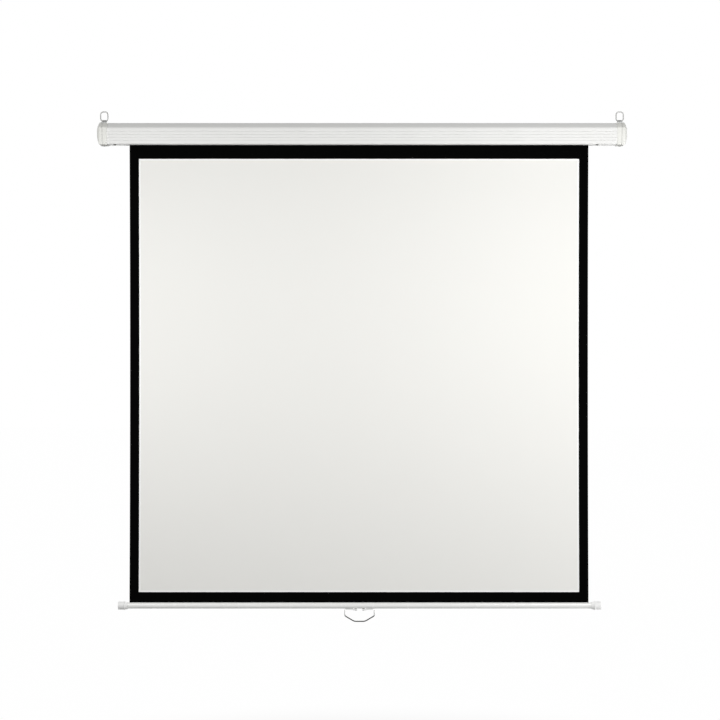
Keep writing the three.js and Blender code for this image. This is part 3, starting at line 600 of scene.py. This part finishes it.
def end_cap(name, side):
    """A cap for the left end, side -1, or the right end, side 1, hollow as it is moulded."""
    rows = []
    for k in range(dome_rows + 1):
        along = k / dome_rows
        share = (1 - along) ** dome_power
        rows.append([(-side * dome_depth * along, *domed(p, share)) for p in cap_outline(0)])
    for place, depth in cap_groove_shares:
        middle = cap_groove_from_end + place * cap_groove_half
        rows.append([
            (-side * (middle - p.y * cap_groove_lean), p.x, p.y)
            for p in cap_outline(cap_groove_depth * depth)
        ])
    for back, inset in ((cap_rim, 0), (cap_rim * rim_share, cap_rim * rim_share), (0, cap_rim)):
        rows.append([(-side * (cap_length - back), *p) for p in cap_outline(inset)])
    end_x = side * cap_end
    rows = [[(end_x + x, y, z) for x, y, z in row] for row in rows]
    if side > 0:
        rows = [row[::-1] for row in rows]
    cap = new_piece(name, lofted(rows), cap_plastic)
    mouth = side * (cap_end - cap_length - cut_past)
    inner = side * (cap_end - dome_depth)
    cavity = moved(case_outline, -cap_gap, closed=True)
    cavity = [Vector((cut_past if p.x > 0 else p.x, p.y)) for p in cavity]
    body = new_piece("cavity", drawn(cavity, sorted((mouth, inner))))
    pocket = moved([domed(p, 1) for p in case_outline], cap_wall, closed=True)
    ends = sorted((inner - side * cap_gap, side * (cap_end - cap_wall)))
    hollow = new_piece("pocket", drawn(pocket, ends))
    return carved(cap, body, hollow)


def rectangle(centre, half_x, half_y, corner):
    """The points of a rectangle with rounded corners."""
    square = [(-half_x, -half_y), (half_x, -half_y), (half_x, half_y), (-half_x, half_y)]
    return [Vector(centre) + p for p in eased([(x, y, corner) for x, y in square], closed=True)]


def upright(centre, radius, z_range, turns=40):
    """An upright round bar."""
    angles = [2 * math.pi * i / turns for i in range(turns)]
    ring = [(centre[0] + radius * math.cos(a), centre[1] + radius * math.sin(a)) for a in angles]
    return lofted([[(x, y, z) for x, y in ring] for z in z_range])


def cap_foot(name, side):
    """The tapered foot under a cap, grey as painted shade, with a recess and a bore for the cap's screw.
    """
    centre = (side * (cap_end - foot_from_end), screw_row)
    length, width, height = foot_size
    levels = (
        (height, foot_taper),
        (height - foot_edge, foot_taper - foot_edge),
        (height - foot_taper, 0),
        (foot_seat, 0),
    )
    rows = []
    for down, inset in levels:
        outline = rectangle(centre, length / 2 - inset, width / 2 - inset, foot_corner)
        rows.append([(p.x, p.y, cap_bottom - down) for p in outline])
    foot = new_piece(name, lofted(rows), foot_plastic)
    bore = upright(centre, screw_bore, (cap_bottom - height - cut_past, cap_bottom + cut_past))
    head_radius, _, shank_radius = case_screw
    recess_range = (cap_bottom - height - cut_past, cap_bottom - height + foot_recess)
    recess = upright(centre, head_radius + screw_bore - shank_radius, recess_range)
    cuts = [new_piece("cut", cut) for cut in (bore, recess)]
    carved(foot, *cuts, crease=foot_crease)
    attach(foot, "housing")


for name, side in (("left", -1), ("right", 1)):
    cap = end_cap(name + "_cap", side)
    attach(cap, "housing")
    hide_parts(name + "_end_cap")
    cap_foot(name + "_foot", side)

# Cap and bracket screws. Dark-plated steel with a domed head and a cross recess. One goes up through
# each cap's foot into the case, and one through the case into each roller bracket.

plating_cloud_size = 0.009
plating_cloud_share = 0.6
plating_speck_size = 0.0012
plating_speck_levels = ((0.60, 0), (0.72, 1))
plating_speck_rough = 0.12
line_rough = 0.16
line_depth = 0.00002


def plated(name, colour, shade, rough, grain, draw=(1, 1, 1), painted_shade=None):
    """Plated or drawn steel: fine lines along draw, faint clouds in the plating, dull specks.

    painted_shade is where the colour is darkened as painted shade, as a function of the finish, and the
    colour painted there.
    """
    metal = Surface(name, Metallic=1.0)
    clouds = metal.noise(plating_cloud_size, detail=4)
    specks = metal.ramp(metal.noise(plating_speck_size, detail=3), *plating_speck_levels)
    lines = metal.noise(grain, detail=3, place=metal.stretched(*draw))
    mottle = clouds * plating_cloud_share + specks * (1 - plating_cloud_share)
    tint = metal.blend(mottle, colour, shade)
    # Painted shade: the colour moved towards a darker one where the mask is 1
    if painted_shade:
        where, painted_colour = painted_shade
        tint = metal.blend(where(metal), tint, painted_colour)
    metal.set("Base Color", tint)
    metal.set("Roughness", lines * line_rough + specks * plating_speck_rough + rough)
    metal.set("Normal", metal.bump(lines, line_depth))
    return metal.material


screw_turns = 56
screw_rows = 12
recess_half = 0.10
recess_reach = 0.58
recess_depth = 0.55
head_centre_share = 0.02
head_dome_share = 0.45
head_edge_share = 0.35
point_share = 0.1
dark_steel = plated(
    "dark_steel", colour=(0.085, 0.083, 0.078), shade=(0.045, 0.044, 0.043), rough=0.30, grain=0.0006
)


def screw(name, node, head_radius, head, shank_radius, down, body):
    """A screw in a CAD screw's place: the head's top at its outer end, the shank to its far end."""
    low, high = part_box(node)
    centre = (low + high) / 2
    length = high.z - low.z - head
    profile = []
    for k in range(screw_rows + 1):
        out = max(k / screw_rows, head_centre_share)
        profile.append((out * head_radius, -head * (1 - head_dome_share * out ** 3)))
    profile += [
        (head_radius, -head * head_edge_share),
        (head_radius, 0),
        (shank_radius, 0),
        (shank_radius, length - shank_radius),
        (shank_radius * point_share, length),
    ]
    rows = []
    for radius, z in profile:
        ring = []
        for i in range(screw_turns):
            angle = 2 * math.pi * i / screw_turns
            x, y = radius * math.cos(angle), radius * math.sin(angle)
            arm, width = sorted((abs(x), abs(y)), reverse=True)
            sunk = z < 0 and arm < recess_reach * head_radius and width < recess_half * head_radius
            height = z + head * recess_depth if sunk else z
            ring.append((centre.x + x, centre.y - y, height))
        rows.append(ring)
    seat = low.z + head
    if down:
        seat = high.z - head
        rows = [[(x, y, -z) for x, y, z in ring[::-1]] for ring in rows]
    rows = [[(x, y, z + seat) for x, y, z in ring] for ring in rows]
    made = new_piece(name, lofted(rows), dark_steel, body)
    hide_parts(node)


for side in ("left", "right"):
    screw(side + "_cap_fixing", side + "_cap_screw", *case_screw, down=False, body="housing")
    fixing, node = side + "_bracket_fixing", side + "_bracket_screw"
    screw(fixing, node, *case_screw, down=False, body="housing")

# Hangers. On each cap a zinc-plated plate with rounded corners is screwed down through the cap into
# the case, and a saddle on its middle holds the foot of the hanging ring.


def wire_mesh(path, radius, centre, turns=20):
    """A round wire along a path of (x, z) points, which lies in a plane across Y."""
    rows = []
    for i, point in enumerate(path):
        along = path[min(i + 1, len(path) - 1)] - path[max(i - 1, 0)]
        along.normalize()
        side = Vector((-along.y, along.x))
        ring = []
        for k in range(turns):
            angle = 2 * math.pi * k / turns
            reach = radius * math.cos(angle)
            ring.append((
                centre[0] + point.x + side.x * reach,
                centre[1] + radius * math.sin(angle),
                centre[2] + point.y + side.y * reach,
            ))
        rows.append(ring)
    return lofted(rows)


plate_sheet = 0.0015
plate_corner = 0.003
plate_edge = 0.0003
plate_screw = (0.004, 0.0011, 0.002)
saddle_wall = 0.001
saddle_radius = 0.0037
saddle_foot = 0.0064
saddle_half = 0.0065
saddle_lift = 0.00002
saddle_kink_out = 0.0002
saddle_kink_up = 0.0003
saddle_toe = 0.0009
saddle_steps = 24
ring_wire = 0.002
ring_foot = 0.0077
ring_half = 0.0125
ring_flare = 0.007
ring_rise = 0.0327
ring_split = 0.0003
ring_foot_bend = 0.0025
ring_flare_bend = 0.004
ring_crown_bend = 0.012
ring_steps = 16
zinc_sheet = plated(
    "zinc_sheet",
    colour=(0.50, 0.51, 0.51),
    shade=(0.36, 0.37, 0.375),
    rough=0.32,
    grain=0.0025,
    draw=(0.15, 1, 1),
)
saddle_steel = plated(
    "saddle_steel", colour=(0.27, 0.27, 0.265), shade=(0.19, 0.19, 0.187), rough=0.34, grain=0.0015
)
ring_steel = plated(
    "ring_steel",
    colour=(0.36, 0.36, 0.35),
    shade=(0.24, 0.24, 0.235),
    rough=0.24,
    grain=0.0015,
    draw=(1, 1, 0.2),
)
half_ring = [
    (ring_split, 0, 0),
    (ring_foot, 0, ring_foot_bend),
    (ring_half, ring_flare, ring_flare_bend),
    (ring_half, ring_rise, ring_crown_bend),
]
ring_loop = eased(half_ring + [(-x, z, bend) for x, z, bend in half_ring[::-1]], ring_steps)

for side in ("left", "right"):
    low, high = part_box(side + "_hanger_plate")
    middle = (low + high) / 2
    half_x, half_y = (high.x - low.x) / 2, (high.y - low.y) / 2
    top = low.z + plate_sheet
    rows = []
    for z, inset in ((low.z, 0), (top - plate_edge, 0), (top, plate_edge)):
        outline = rectangle(middle.xy, half_x - inset, half_y - inset, plate_corner - inset)
        rows.append([(p.x, p.y, z) for p in outline])
    plate = new_piece(side + "_hanger", lofted(rows), zinc_sheet, "housing")
    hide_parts(side + "_hanger_plate")
    axis = high.z - saddle_radius - saddle_wall / 2
    floor_z = top + saddle_lift + saddle_wall / 2
    flap = [
        (saddle_radius + saddle_kink_out, floor_z + saddle_kink_up),
        (saddle_radius + saddle_toe, floor_z),
        (saddle_foot, floor_z),
    ]
    angles = [math.pi * (1 - k / saddle_steps) for k in range(saddle_steps + 1)]
    arch = [(saddle_radius * math.cos(a), axis + saddle_radius * math.sin(a)) for a in angles]
    path = [Vector(p) for p in [(-y, z) for y, z in flap[::-1]] + arch + flap]
    band = moved(path, saddle_wall / 2) + moved(path, -saddle_wall / 2)[::-1]
    band = [Vector((middle.y + p.x, p.y)) for p in band]
    x_range = (middle.x - saddle_half, middle.x + saddle_half)
    new_piece(side + "_saddle", drawn(band, x_range, "strip"), saddle_steel, "housing")
    for end in ("front", "rear"):
        node = side + "_hanger_screw_" + end
        screw(side + "_hanger_fixing_" + end, node, *plate_screw, down=True, body="housing")
    low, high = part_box(side + "_hanging_ring")
    centre = ((low.x + high.x) / 2, (low.y + high.y) / 2, low.z + ring_wire)
    ring = new_piece(
        side + "_ring",
        wire_mesh(ring_loop, ring_wire, centre),
        ring_steel,
        side + "_ring",
    )
    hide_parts(side + "_hanging_ring")

# Roller and its bearings, all inside the case. A galvanised tube on two nylon plugs, which turns on an
# idle pin at the left and on a fixed spindle at the right, each held by a bracket of zinc sheet.

bright_steel = plated(
    "bright_steel",
    colour=(0.50, 0.50, 0.49),
    shade=(0.38, 0.38, 0.37),
    rough=0.24,
    grain=0.0012,
    draw=(0.1, 1, 1),
)
spring_steel = plated(
    "spring_steel", colour=(0.14, 0.135, 0.125), shade=(0.08, 0.078, 0.075), rough=0.34, grain=0.0010
)
white_nylon = moulded(
    "white_nylon",
    colour=(0.76, 0.74, 0.67),
    shade=(0.71, 0.69, 0.62),
    grain=0.0011,
    depth=0.00002,
    rough=0.40,
)
grey_nylon = moulded(
    "grey_nylon",
    colour=(0.16, 0.165, 0.17),
    shade=(0.13, 0.135, 0.14),
    grain=0.0011,
    depth=0.00002,
    rough=0.45,
)


def dress(finish, *names):
    """Gives CAD nodes a finish in place of their plain one."""
    for name in names:
        mesh = frame["nodes"][name].data
        mesh.materials.clear()
        mesh.materials.append(finish)


dress(zinc_sheet, "left_roller_bracket", "right_roller_bracket", "roller_tube", "spring_anchor")
dress(bright_steel, "idle_pin", "spindle", "spindle_split_pin", "ratchet_pin")
dress(bright_steel, "left_plug_rivet_top", "left_plug_rivet_foot", "right_plug_rivet_top")
dress(bright_steel, "right_plug_rivet_foot", "upper_pawl_pin", "lower_pawl_pin")
dress(dark_steel, "ratchet_wheel", "upper_pawl", "lower_pawl")
dress(spring_steel, "torsion_spring")
dress(white_nylon, "left_roller_plug", "right_roller_plug")
dress(grey_nylon, "idle_pin_bush", "right_plug_bush", "spindle_support")

# Cloth wound on the roller, two turns that never leave it, held by a strip of adhesive tape. The same
# coated cloth as the screen: its black face is outside, as the cloth leaves from the roller's rear.

# How wide one band of the wave texture is at scale 1
wave_width = math.pi / 10
thread_waver = 0.6
thread_share = 0.6
weave_depth = 0.00003
coat_cloud_size = 0.25
coat_cloud_share = 0.75
coat_speck_size = 0.0011
coat_speck_rough = 0.10


def coating(name, colour, shade, thread, rough, gloss):
    """Coated cloth: a fine plain weave under the coating, faint clouds where it lies thinner."""
    cloth = Surface(name, Specular_IOR_Level=gloss)
    scale = wave_width / thread
    weave = {"wave_type": "BANDS", "bands_direction": "X", "wave_profile": "SIN"}
    sockets = {"Vector": cloth.place, "Scale": scale, "Distortion": thread_waver, "Detail": 1.0}
    warp = cloth.node("ShaderNodeTexWave", weave, sockets)
    weft = cloth.node("ShaderNodeTexWave", {**weave, "bands_direction": "Z"}, sockets)
    clouds = cloth.noise(coat_cloud_size, detail=4)
    specks = cloth.noise(coat_speck_size)
    mottle = clouds * coat_cloud_share + specks * (1 - coat_cloud_share)
    cloth.set("Base Color", cloth.blend(mottle, colour, shade))
    cloth.set("Roughness", specks * coat_speck_rough + rough)
    relief = warp * weft * thread_share + specks * (1 - thread_share)
    cloth.set("Normal", cloth.bump(relief, weave_depth))
    return cloth.material


wound_low, wound_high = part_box("rolled_fabric")
cloth_thickness = 0.0004
turn_step = 0.00043
roller_y = (wound_low.y + wound_high.y) / 2
roller_z = (wound_low.z + wound_high.z) / 2
wound_outer = (wound_high.z - wound_low.z) / 2 - cloth_thickness / 2
wound_turns = 2
turn_steps = 72
black_back = coating(
    "black_back",
    colour=(0.016, 0.016, 0.017),
    shade=(0.011, 0.011, 0.012),
    thread=0.0006,
    rough=0.70,
    gloss=0.25,
)
wound_path = []
for i in range(wound_turns * turn_steps + 1):
    angle = 2 * math.pi * i / turn_steps
    radius = wound_outer - turn_step * i / turn_steps
    wound_path.append(Vector((roller_y + radius * math.cos(angle), roller_z + radius * math.sin(angle))))
wound_band = moved(wound_path, cloth_thickness / 2) + moved(wound_path, -cloth_thickness / 2)[::-1]
wound = new_piece(
    "wound_cloth",
    drawn(wound_band, (wound_low.x, wound_high.x), "strip"),
    black_back,
    "roller",
)
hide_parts("rolled_fabric")

tape_gloss = 0.4
tape_colour = (0.70, 0.59, 0.26)
tape_shade = (0.62, 0.50, 0.20)
tape_rough = 0.5
crepe_size = 0.0012
crepe_draw = (0.25, 1, 1)
crepe_rough = 0.2
crepe_depth = 0.00006
tape = Surface("yellow_tape", Specular_IOR_Level=tape_gloss)
crepe = tape.noise(crepe_size, detail=3, place=tape.stretched(*crepe_draw))
tape.set("Base Color", tape.blend(crepe, tape_colour, tape_shade))
tape.set("Roughness", crepe * crepe_rough + tape_rough)
tape.set("Normal", tape.bump(crepe, crepe_depth))
dress(tape.material, "fabric_tape")

# Screen. One matt white coated cloth with a black border and a black back, hung from the roller's
# rear through the case's slot. Its side edges draw in slightly halfway down, as the cloth is only
# pulled along its length. The foot of the border hangs in the bar's slot and moves with the bar.

fabric_low, fabric_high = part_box("screen_fabric")
side_border = 0.0322
top_border = 0.0472
bottom_border = 0.036
view_left = fabric_low.x + side_border
view_right = fabric_high.x - side_border
view_top = case_low.z - top_border
bar_low, bar_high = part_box("bar_tube")
view_bottom = bar_high.z + bottom_border
draw_in = 0.002
step_width = 0.0003
coat_relief = 0.00015
highlight_strip = 0.0052
side_columns = 3
view_columns = 40
foot_columns = 24
border_rows = 4
view_rows = 48
rear_facing = 0.5


def spread(start, end, count):
    """Even steps from start that stop one short of end."""
    return [start + (end - start) * k / count for k in range(count)]


screen_white = coating(
    "screen_white",
    colour=(0.875, 0.870, 0.838),
    shade=(0.862, 0.856, 0.824),
    thread=0.0005,
    rough=0.82,
    gloss=0.20,
)
# A paler white in a strip along the inside of the border: a painted highlight
edge_white = coating(
    "edge_white",
    colour=(0.985, 0.985, 0.975),
    shade=(0.975, 0.975, 0.965),
    thread=0.0005,
    rough=0.70,
    gloss=0.30,
)

# The border is matt black printed over the white coating, with a fine fibre
border_gloss = 0.02
border_colour = (0.0012, 0.0012, 0.0013)
border_shade = (0.0006, 0.0006, 0.0006)
border_cloud_size = 0.20
border_rough = 0.78
fibre_size = 0.0009
fibre_rough = 0.1
fibre_depth = 0.00005
black = Surface("border_black", Specular_IOR_Level=border_gloss)
fibre = black.noise(fibre_size, detail=3)
clouds = black.noise(border_cloud_size, detail=3)
black.set("Base Color", black.blend(clouds, border_colour, border_shade))
black.set("Roughness", fibre * fibre_rough + border_rough)
black.set("Normal", black.bump(fibre, fibre_depth))
border_black = black.material

middle_x = (fabric_low.x + fabric_high.x) / 2
drop = fabric_high.z - view_bottom


def drawn_in(x, z):
    """Where a point at x lies once the cloth is pulled, which draws it in most halfway down."""
    down = (fabric_high.z - z) / drop
    share = max(0, 4 * down * (1 - down)) * draw_in / (fabric_high.x - middle_x)
    return x - (x - middle_x) * share


def in_window(x, z):
    """Whether a point is on the white area inside the border."""
    return view_left < x < view_right and view_bottom < z < view_top


def front_face(x, z):
    """Where the cloth's front is: the border stands over the white by its coat."""
    return fabric_low.y if in_window(x, z) else fabric_low.y - coat_relief


def sheet_shape(columns, rows):
    """A thin cloth: a grid of front points, its flat back and its rim."""
    points = [(drawn_in(x, z), front_face(x, z), z) for z in rows for x in columns]
    count = len(points)
    points += [(x, fabric_high.y, z) for x, _, z in points]
    wide, tall = len(columns), len(rows)
    faces = []
    for r in range(tall - 1):
        for c in range(wide - 1):
            a = r * wide + c
            faces.append((a, a + wide, a + wide + 1, a + 1))
            faces.append((count + a, count + a + 1, count + a + wide + 1, count + a + wide))
    for c in range(wide - 1):
        last = (tall - 1) * wide + c
        faces.append((c, c + 1, count + c + 1, count + c))
        faces.append((last + 1, last, count + last, count + last + 1))
    for r in range(tall - 1):
        a, b = r * wide, r * wide + wide - 1
        faces.append((a + wide, a, count + a, count + a + wide))
        faces.append((b, b + wide, count + b + wide, count + b))
    return points, faces


def over_window(start, end, count):
    """Steps over the white area between two borders, with its strips of painted highlight."""
    way = math.copysign(1, end - start)
    inner, outer = start + way * highlight_strip, end - way * highlight_strip
    before = [start, start + way * step_width]
    after = [outer, end - way * step_width, end]
    return before + spread(inner, outer, count) + after


def on_painted_highlight(x, z):
    """Whether a point is on the strip of painted highlight along the border."""
    across = min(x - view_left, view_right - x)
    return min(across, view_top - z, z - view_bottom) < highlight_strip


columns = spread(fabric_low.x, view_left, side_columns)
columns += over_window(view_left, view_right, view_columns)
columns += spread(view_right, fabric_high.x, side_columns)[1:] + [fabric_high.x]
rows = spread(fabric_high.z, view_top, border_rows) + over_window(view_top, view_bottom, view_rows)
screen = new_piece("screen_cloth", sheet_shape(columns, rows), screen_white)
on_border, on_back, on_highlight = 1, 2, 3
for finish in (border_black, black_back, edge_white):
    screen.data.materials.append(finish)
for face in screen.data.polygons:
    centre = face.center
    if face.normal.y > rear_facing:
        face.material_index = on_back
    elif not in_window(centre.x, centre.z):
        face.material_index = on_border
    elif on_painted_highlight(centre.x, centre.z):
        face.material_index = on_highlight
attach(screen, "housing")
slide = next(j for j in frame["joints"] if j["name"] == "screen_slide")
travel = max(slide["range_m"])
foot_play = 0.0002
keep = 1 - (travel + foot_play) / drop
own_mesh(screen)
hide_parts("screen_fabric", "black_border")

hem_rows = spread(view_bottom, fabric_low.z, border_rows) + [fabric_low.z]
hem_columns = spread(fabric_low.x, fabric_high.x, foot_columns) + [fabric_high.x]
hem = new_piece(
    "screen_foot",
    sheet_shape(hem_columns, hem_rows),
    border_black,
    "bottom_bar",
)
on_hem_back = 1
hem.data.materials.append(black_back)
for face in hem.data.polygons:
    if face.normal.y > rear_facing:
        face.material_index = on_hem_back

# Bottom bar. A white painted steel tube, slotted along its top. The screen's foot passes in through
# the slot and is held inside by a nylon rod. A plastic cap with a raised collar closes each end.


def turned(profile, centre, steps=56):
    """A profile of (x, radius) points turned about a line along X."""
    rows = []
    for x, radius in profile:
        ring = []
        for i in range(steps):
            angle = 2 * math.pi * i / steps
            ring.append((x, centre[0] + radius * math.cos(angle), centre[1] + radius * math.sin(angle)))
        rows.append(ring)
    return lofted(rows)


bar_wall = 0.0012
bar_slot = 0.0018
bar_y = (bar_low.y + bar_high.y) / 2
bar_radius = (bar_high.y - bar_low.y) / 2
bar_z = bar_low.z + bar_radius
bar_paint = powder_coat(
    "bar_paint", colour=(0.89, 0.89, 0.875), shade=(0.87, 0.87, 0.85), rough=0.20, gloss=0.9
)
bar_end_plastic = moulded(
    "bar_end_plastic",
    colour=(0.90, 0.90, 0.89),
    shade=(0.87, 0.87, 0.86),
    grain=0.0007,
    depth=0.00003,
    rough=0.36,
)


def split_arc(radius, steps=72):
    """A circle round the bar's axis, open at the top where the slot is."""
    half = math.asin(bar_slot / 2 / radius)
    start, sweep = math.pi / 2 + half, 2 * (math.pi - half)
    angles = [start + sweep * i / steps for i in range(steps + 1)]
    return [Vector((bar_y + radius * math.cos(a), bar_z + radius * math.sin(a))) for a in angles]


bar_section = split_arc(bar_radius) + split_arc(bar_radius - bar_wall)[::-1]
bar = new_piece(
    "bar",
    drawn(bar_section, (bar_low.x, bar_high.x), "strip"),
    bar_paint,
    "bottom_bar",
)
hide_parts("bar_tube")
dress(white_nylon, "hem_rod")

bar_cap_play = 0.0003
bar_cap_wall = 0.0032
mouth_wall = 0.0015
cap_bore = bar_radius + bar_cap_play
cap_skin = cap_bore + bar_cap_wall
mouth_skin = cap_bore + mouth_wall
collar_height = 0.0012
collar_skin = cap_skin + collar_height
collar_start = 0.020
collar_end = 0.024
collar_slope = 0.0004
outer_bend = 0.0004
inner_bend = 0.0003
cap_end_wall = 0.004
bar_cap_length = 0.033
cap_edge = 0.0018
cap_bend_steps = 5
near_axis = 0.0002
bar_cap_profile = [
    (0, near_axis, 0),
    (0, cap_skin, cap_edge),
    (collar_start, cap_skin, inner_bend),
    (collar_start + collar_slope, collar_skin, outer_bend),
    (collar_end - collar_slope, collar_skin, outer_bend),
    (collar_end, cap_skin, inner_bend),
    (bar_cap_length, mouth_skin, outer_bend),
    (bar_cap_length, cap_bore, inner_bend),
    (cap_end_wall, cap_bore, 0),
    (cap_end_wall, near_axis, 0),
]
for name, side in (("left", -1), ("right", 1)):
    low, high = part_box(name + "_bar_cap")
    end = low.x if side < 0 else high.x
    profile = [(end - side * p.x, p.y) for p in eased(bar_cap_profile, cap_bend_steps)]
    if side < 0:
        profile = profile[::-1]
    bar_cap = new_piece(
        name + "_bar_end",
        turned(profile, (bar_y, bar_z)),
        bar_end_plastic,
        "bottom_bar",
    )
    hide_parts(name + "_bar_cap")

# Pull handle. A bent wire whose two ends turn in moulded clips. One screw holds each clip up against
# the underside of the bar. The wire's plating is painted bright at the top and dark lower down, as light
# and shade.

clip_plastic = moulded(
    "clip_plastic",
    colour=(0.96, 0.96, 0.95),
    shade=(0.94, 0.94, 0.93),
    grain=0.0006,
    depth=0.00002,
    rough=0.34,
)
handle_low, handle_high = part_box("pull_handle")
handle_radius = 0.002
play = 0.0003
stub_bore = 0.007
clip_edge = 0.0004
clip_edge_steps = 2
clip_eave = 0.0008
clip_belly = 0.003
clip_crease = 40
clip_edge_angle = 50
clip_cut_past = 0.003
channel_steps = 12
seat_turns = 96
tab_reach = 0.0135
tab_width = 0.0085
tab_sheet = 0.0012
tab_height = 0.0030
tab_lift = 0.0027
tab_gap = 0.00015
tab_back = 0.0006
tab_round_share = 0.98
clip_screw = (0.0028, 0.0012, 0.0015)
handle_x = (handle_low.x + handle_high.x) / 2
handle_axis = bar_low.z - play - handle_radius


def tab_shape(side, grown, front, back):
    """A flat tab let into a clip's front, standing on its edge, with round ends."""
    half_x, half_z = tab_width / 2 + grown, tab_height / 2 + grown
    x, z = handle_x + side * tab_reach, handle_axis + tab_lift
    outline = rectangle((x, z), half_x, half_z, half_z * tab_round_share)[::-1]
    return lofted([[(p.x, y, p.y) for p in outline] for y in (front, back + grown)])


def clip_channel(end, side):
    """The space that the wire's end turns in, open to the bar."""
    wide = handle_radius + play
    angles = [math.pi + math.pi * k / channel_steps for k in range(channel_steps + 1)]
    outline = [Vector((bar_y + wide * math.cos(a), handle_axis + wide * math.sin(a))) for a in angles]
    outline += [Vector((bar_y + wide, bar_z)), Vector((bar_y - wide, bar_z))]
    return drawn(outline, sorted((end + side * clip_cut_past, end - side * stub_bore)))


for name, side in (("left", -1), ("right", 1)):
    low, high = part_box(name + "_handle_clip")
    outline = [
        (low.y, high.z, clip_eave),
        (low.y, low.z, clip_belly),
        (high.y, low.z, clip_belly),
        (high.y, high.z, clip_eave),
    ]
    shape = drawn(eased(outline, closed=True), (low.x, high.x))
    clip = new_piece(name + "_clip", shape, clip_plastic)
    bar_place = bar_radius + play
    round_bar = [(high.x + clip_cut_past, bar_place), (low.x - clip_cut_past, bar_place)]
    tab_rear = low.y + tab_sheet
    cuts = [
        turned(round_bar, (bar_y, bar_z), seat_turns),
        clip_channel(high.x if side > 0 else low.x, side),
        tab_shape(side, tab_gap, low.y - clip_cut_past, tab_rear),
    ]
    carved(clip, *[new_piece("cut", cut) for cut in cuts])
    softened = clip.modifiers.new("edges", "BEVEL")
    softened.width = clip_edge
    softened.segments = clip_edge_steps
    softened.limit_method = "ANGLE"
    softened.angle_limit = math.radians(clip_edge_angle)
    carved(clip, crease=clip_crease)
    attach(clip, "bottom_bar")
    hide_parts(name + "_handle_clip")
    # A dark grey tab in each clip's front: a piece that paints the shade where the wire's end meets the
    # clip
    tab = tab_shape(side, 0, low.y + tab_back, tab_rear)
    new_piece(name + "_clip_tab", tab, foot_plastic, "bottom_bar")
    fixing, node = name + "_clip_fixing", name + "_clip_screw"
    screw(fixing, node, *clip_screw, down=False, body="bottom_bar")

handle_half = (handle_high.x - handle_low.x) / 2 - handle_radius
handle_leg = 0.0228
handle_drop = handle_high.z - handle_low.z - 2 * handle_radius
handle_grip = 0.0185
handle_bend = 0.005
grip_bend = 0.007
handle_steps = 10
handle_turns = 24
handle_shade_colour = (0.055, 0.055, 0.053)
handle_shade_patch = 0.01
handle_shade_edge = 0.06
# How far down the handle, from 0 to 1, and how far it is darkened there as painted shade
handle_shade_shares = ((0.06, 0), (0.16, 0.45), (0.46, 0.5), (0.60, 1))
clip_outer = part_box("right_handle_clip")[1].x
stub_end = clip_outer - handle_x - stub_bore + play
half_handle = [
    (stub_end, 0, 0),
    (handle_half, 0, handle_bend),
    (handle_half, -handle_leg, handle_bend),
    (handle_grip, -handle_drop, grip_bend),
]
handle_path = half_handle + [(-x, z, bend) for x, z, bend in half_handle[::-1]]


def handle_shade_mask(metal):
    """1 on the lower part of the handle, which is darkened as painted shade."""
    down = (handle_axis - metal.axis("Z")) / handle_drop
    return metal.ramp(down + metal.noise(handle_shade_patch) * handle_shade_edge, *handle_shade_shares)


# Bright at the top, standing in for light, and dark lower down, standing in for shade: painted light and
# shade
handle_steel = plated(
    "handle_steel",
    colour=(0.90, 0.90, 0.89),
    shade=(0.80, 0.80, 0.79),
    rough=0.26,
    grain=0.0012,
    draw=(0.3, 1, 1),
    painted_shade=(handle_shade_mask, handle_shade_colour),
)
handle = new_piece(
    "handle",
    wire_mesh(
        eased(handle_path, handle_steps), handle_radius, (handle_x, bar_y, handle_axis), handle_turns
    ),
    handle_steel,
    "handle",
)
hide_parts("pull_handle")
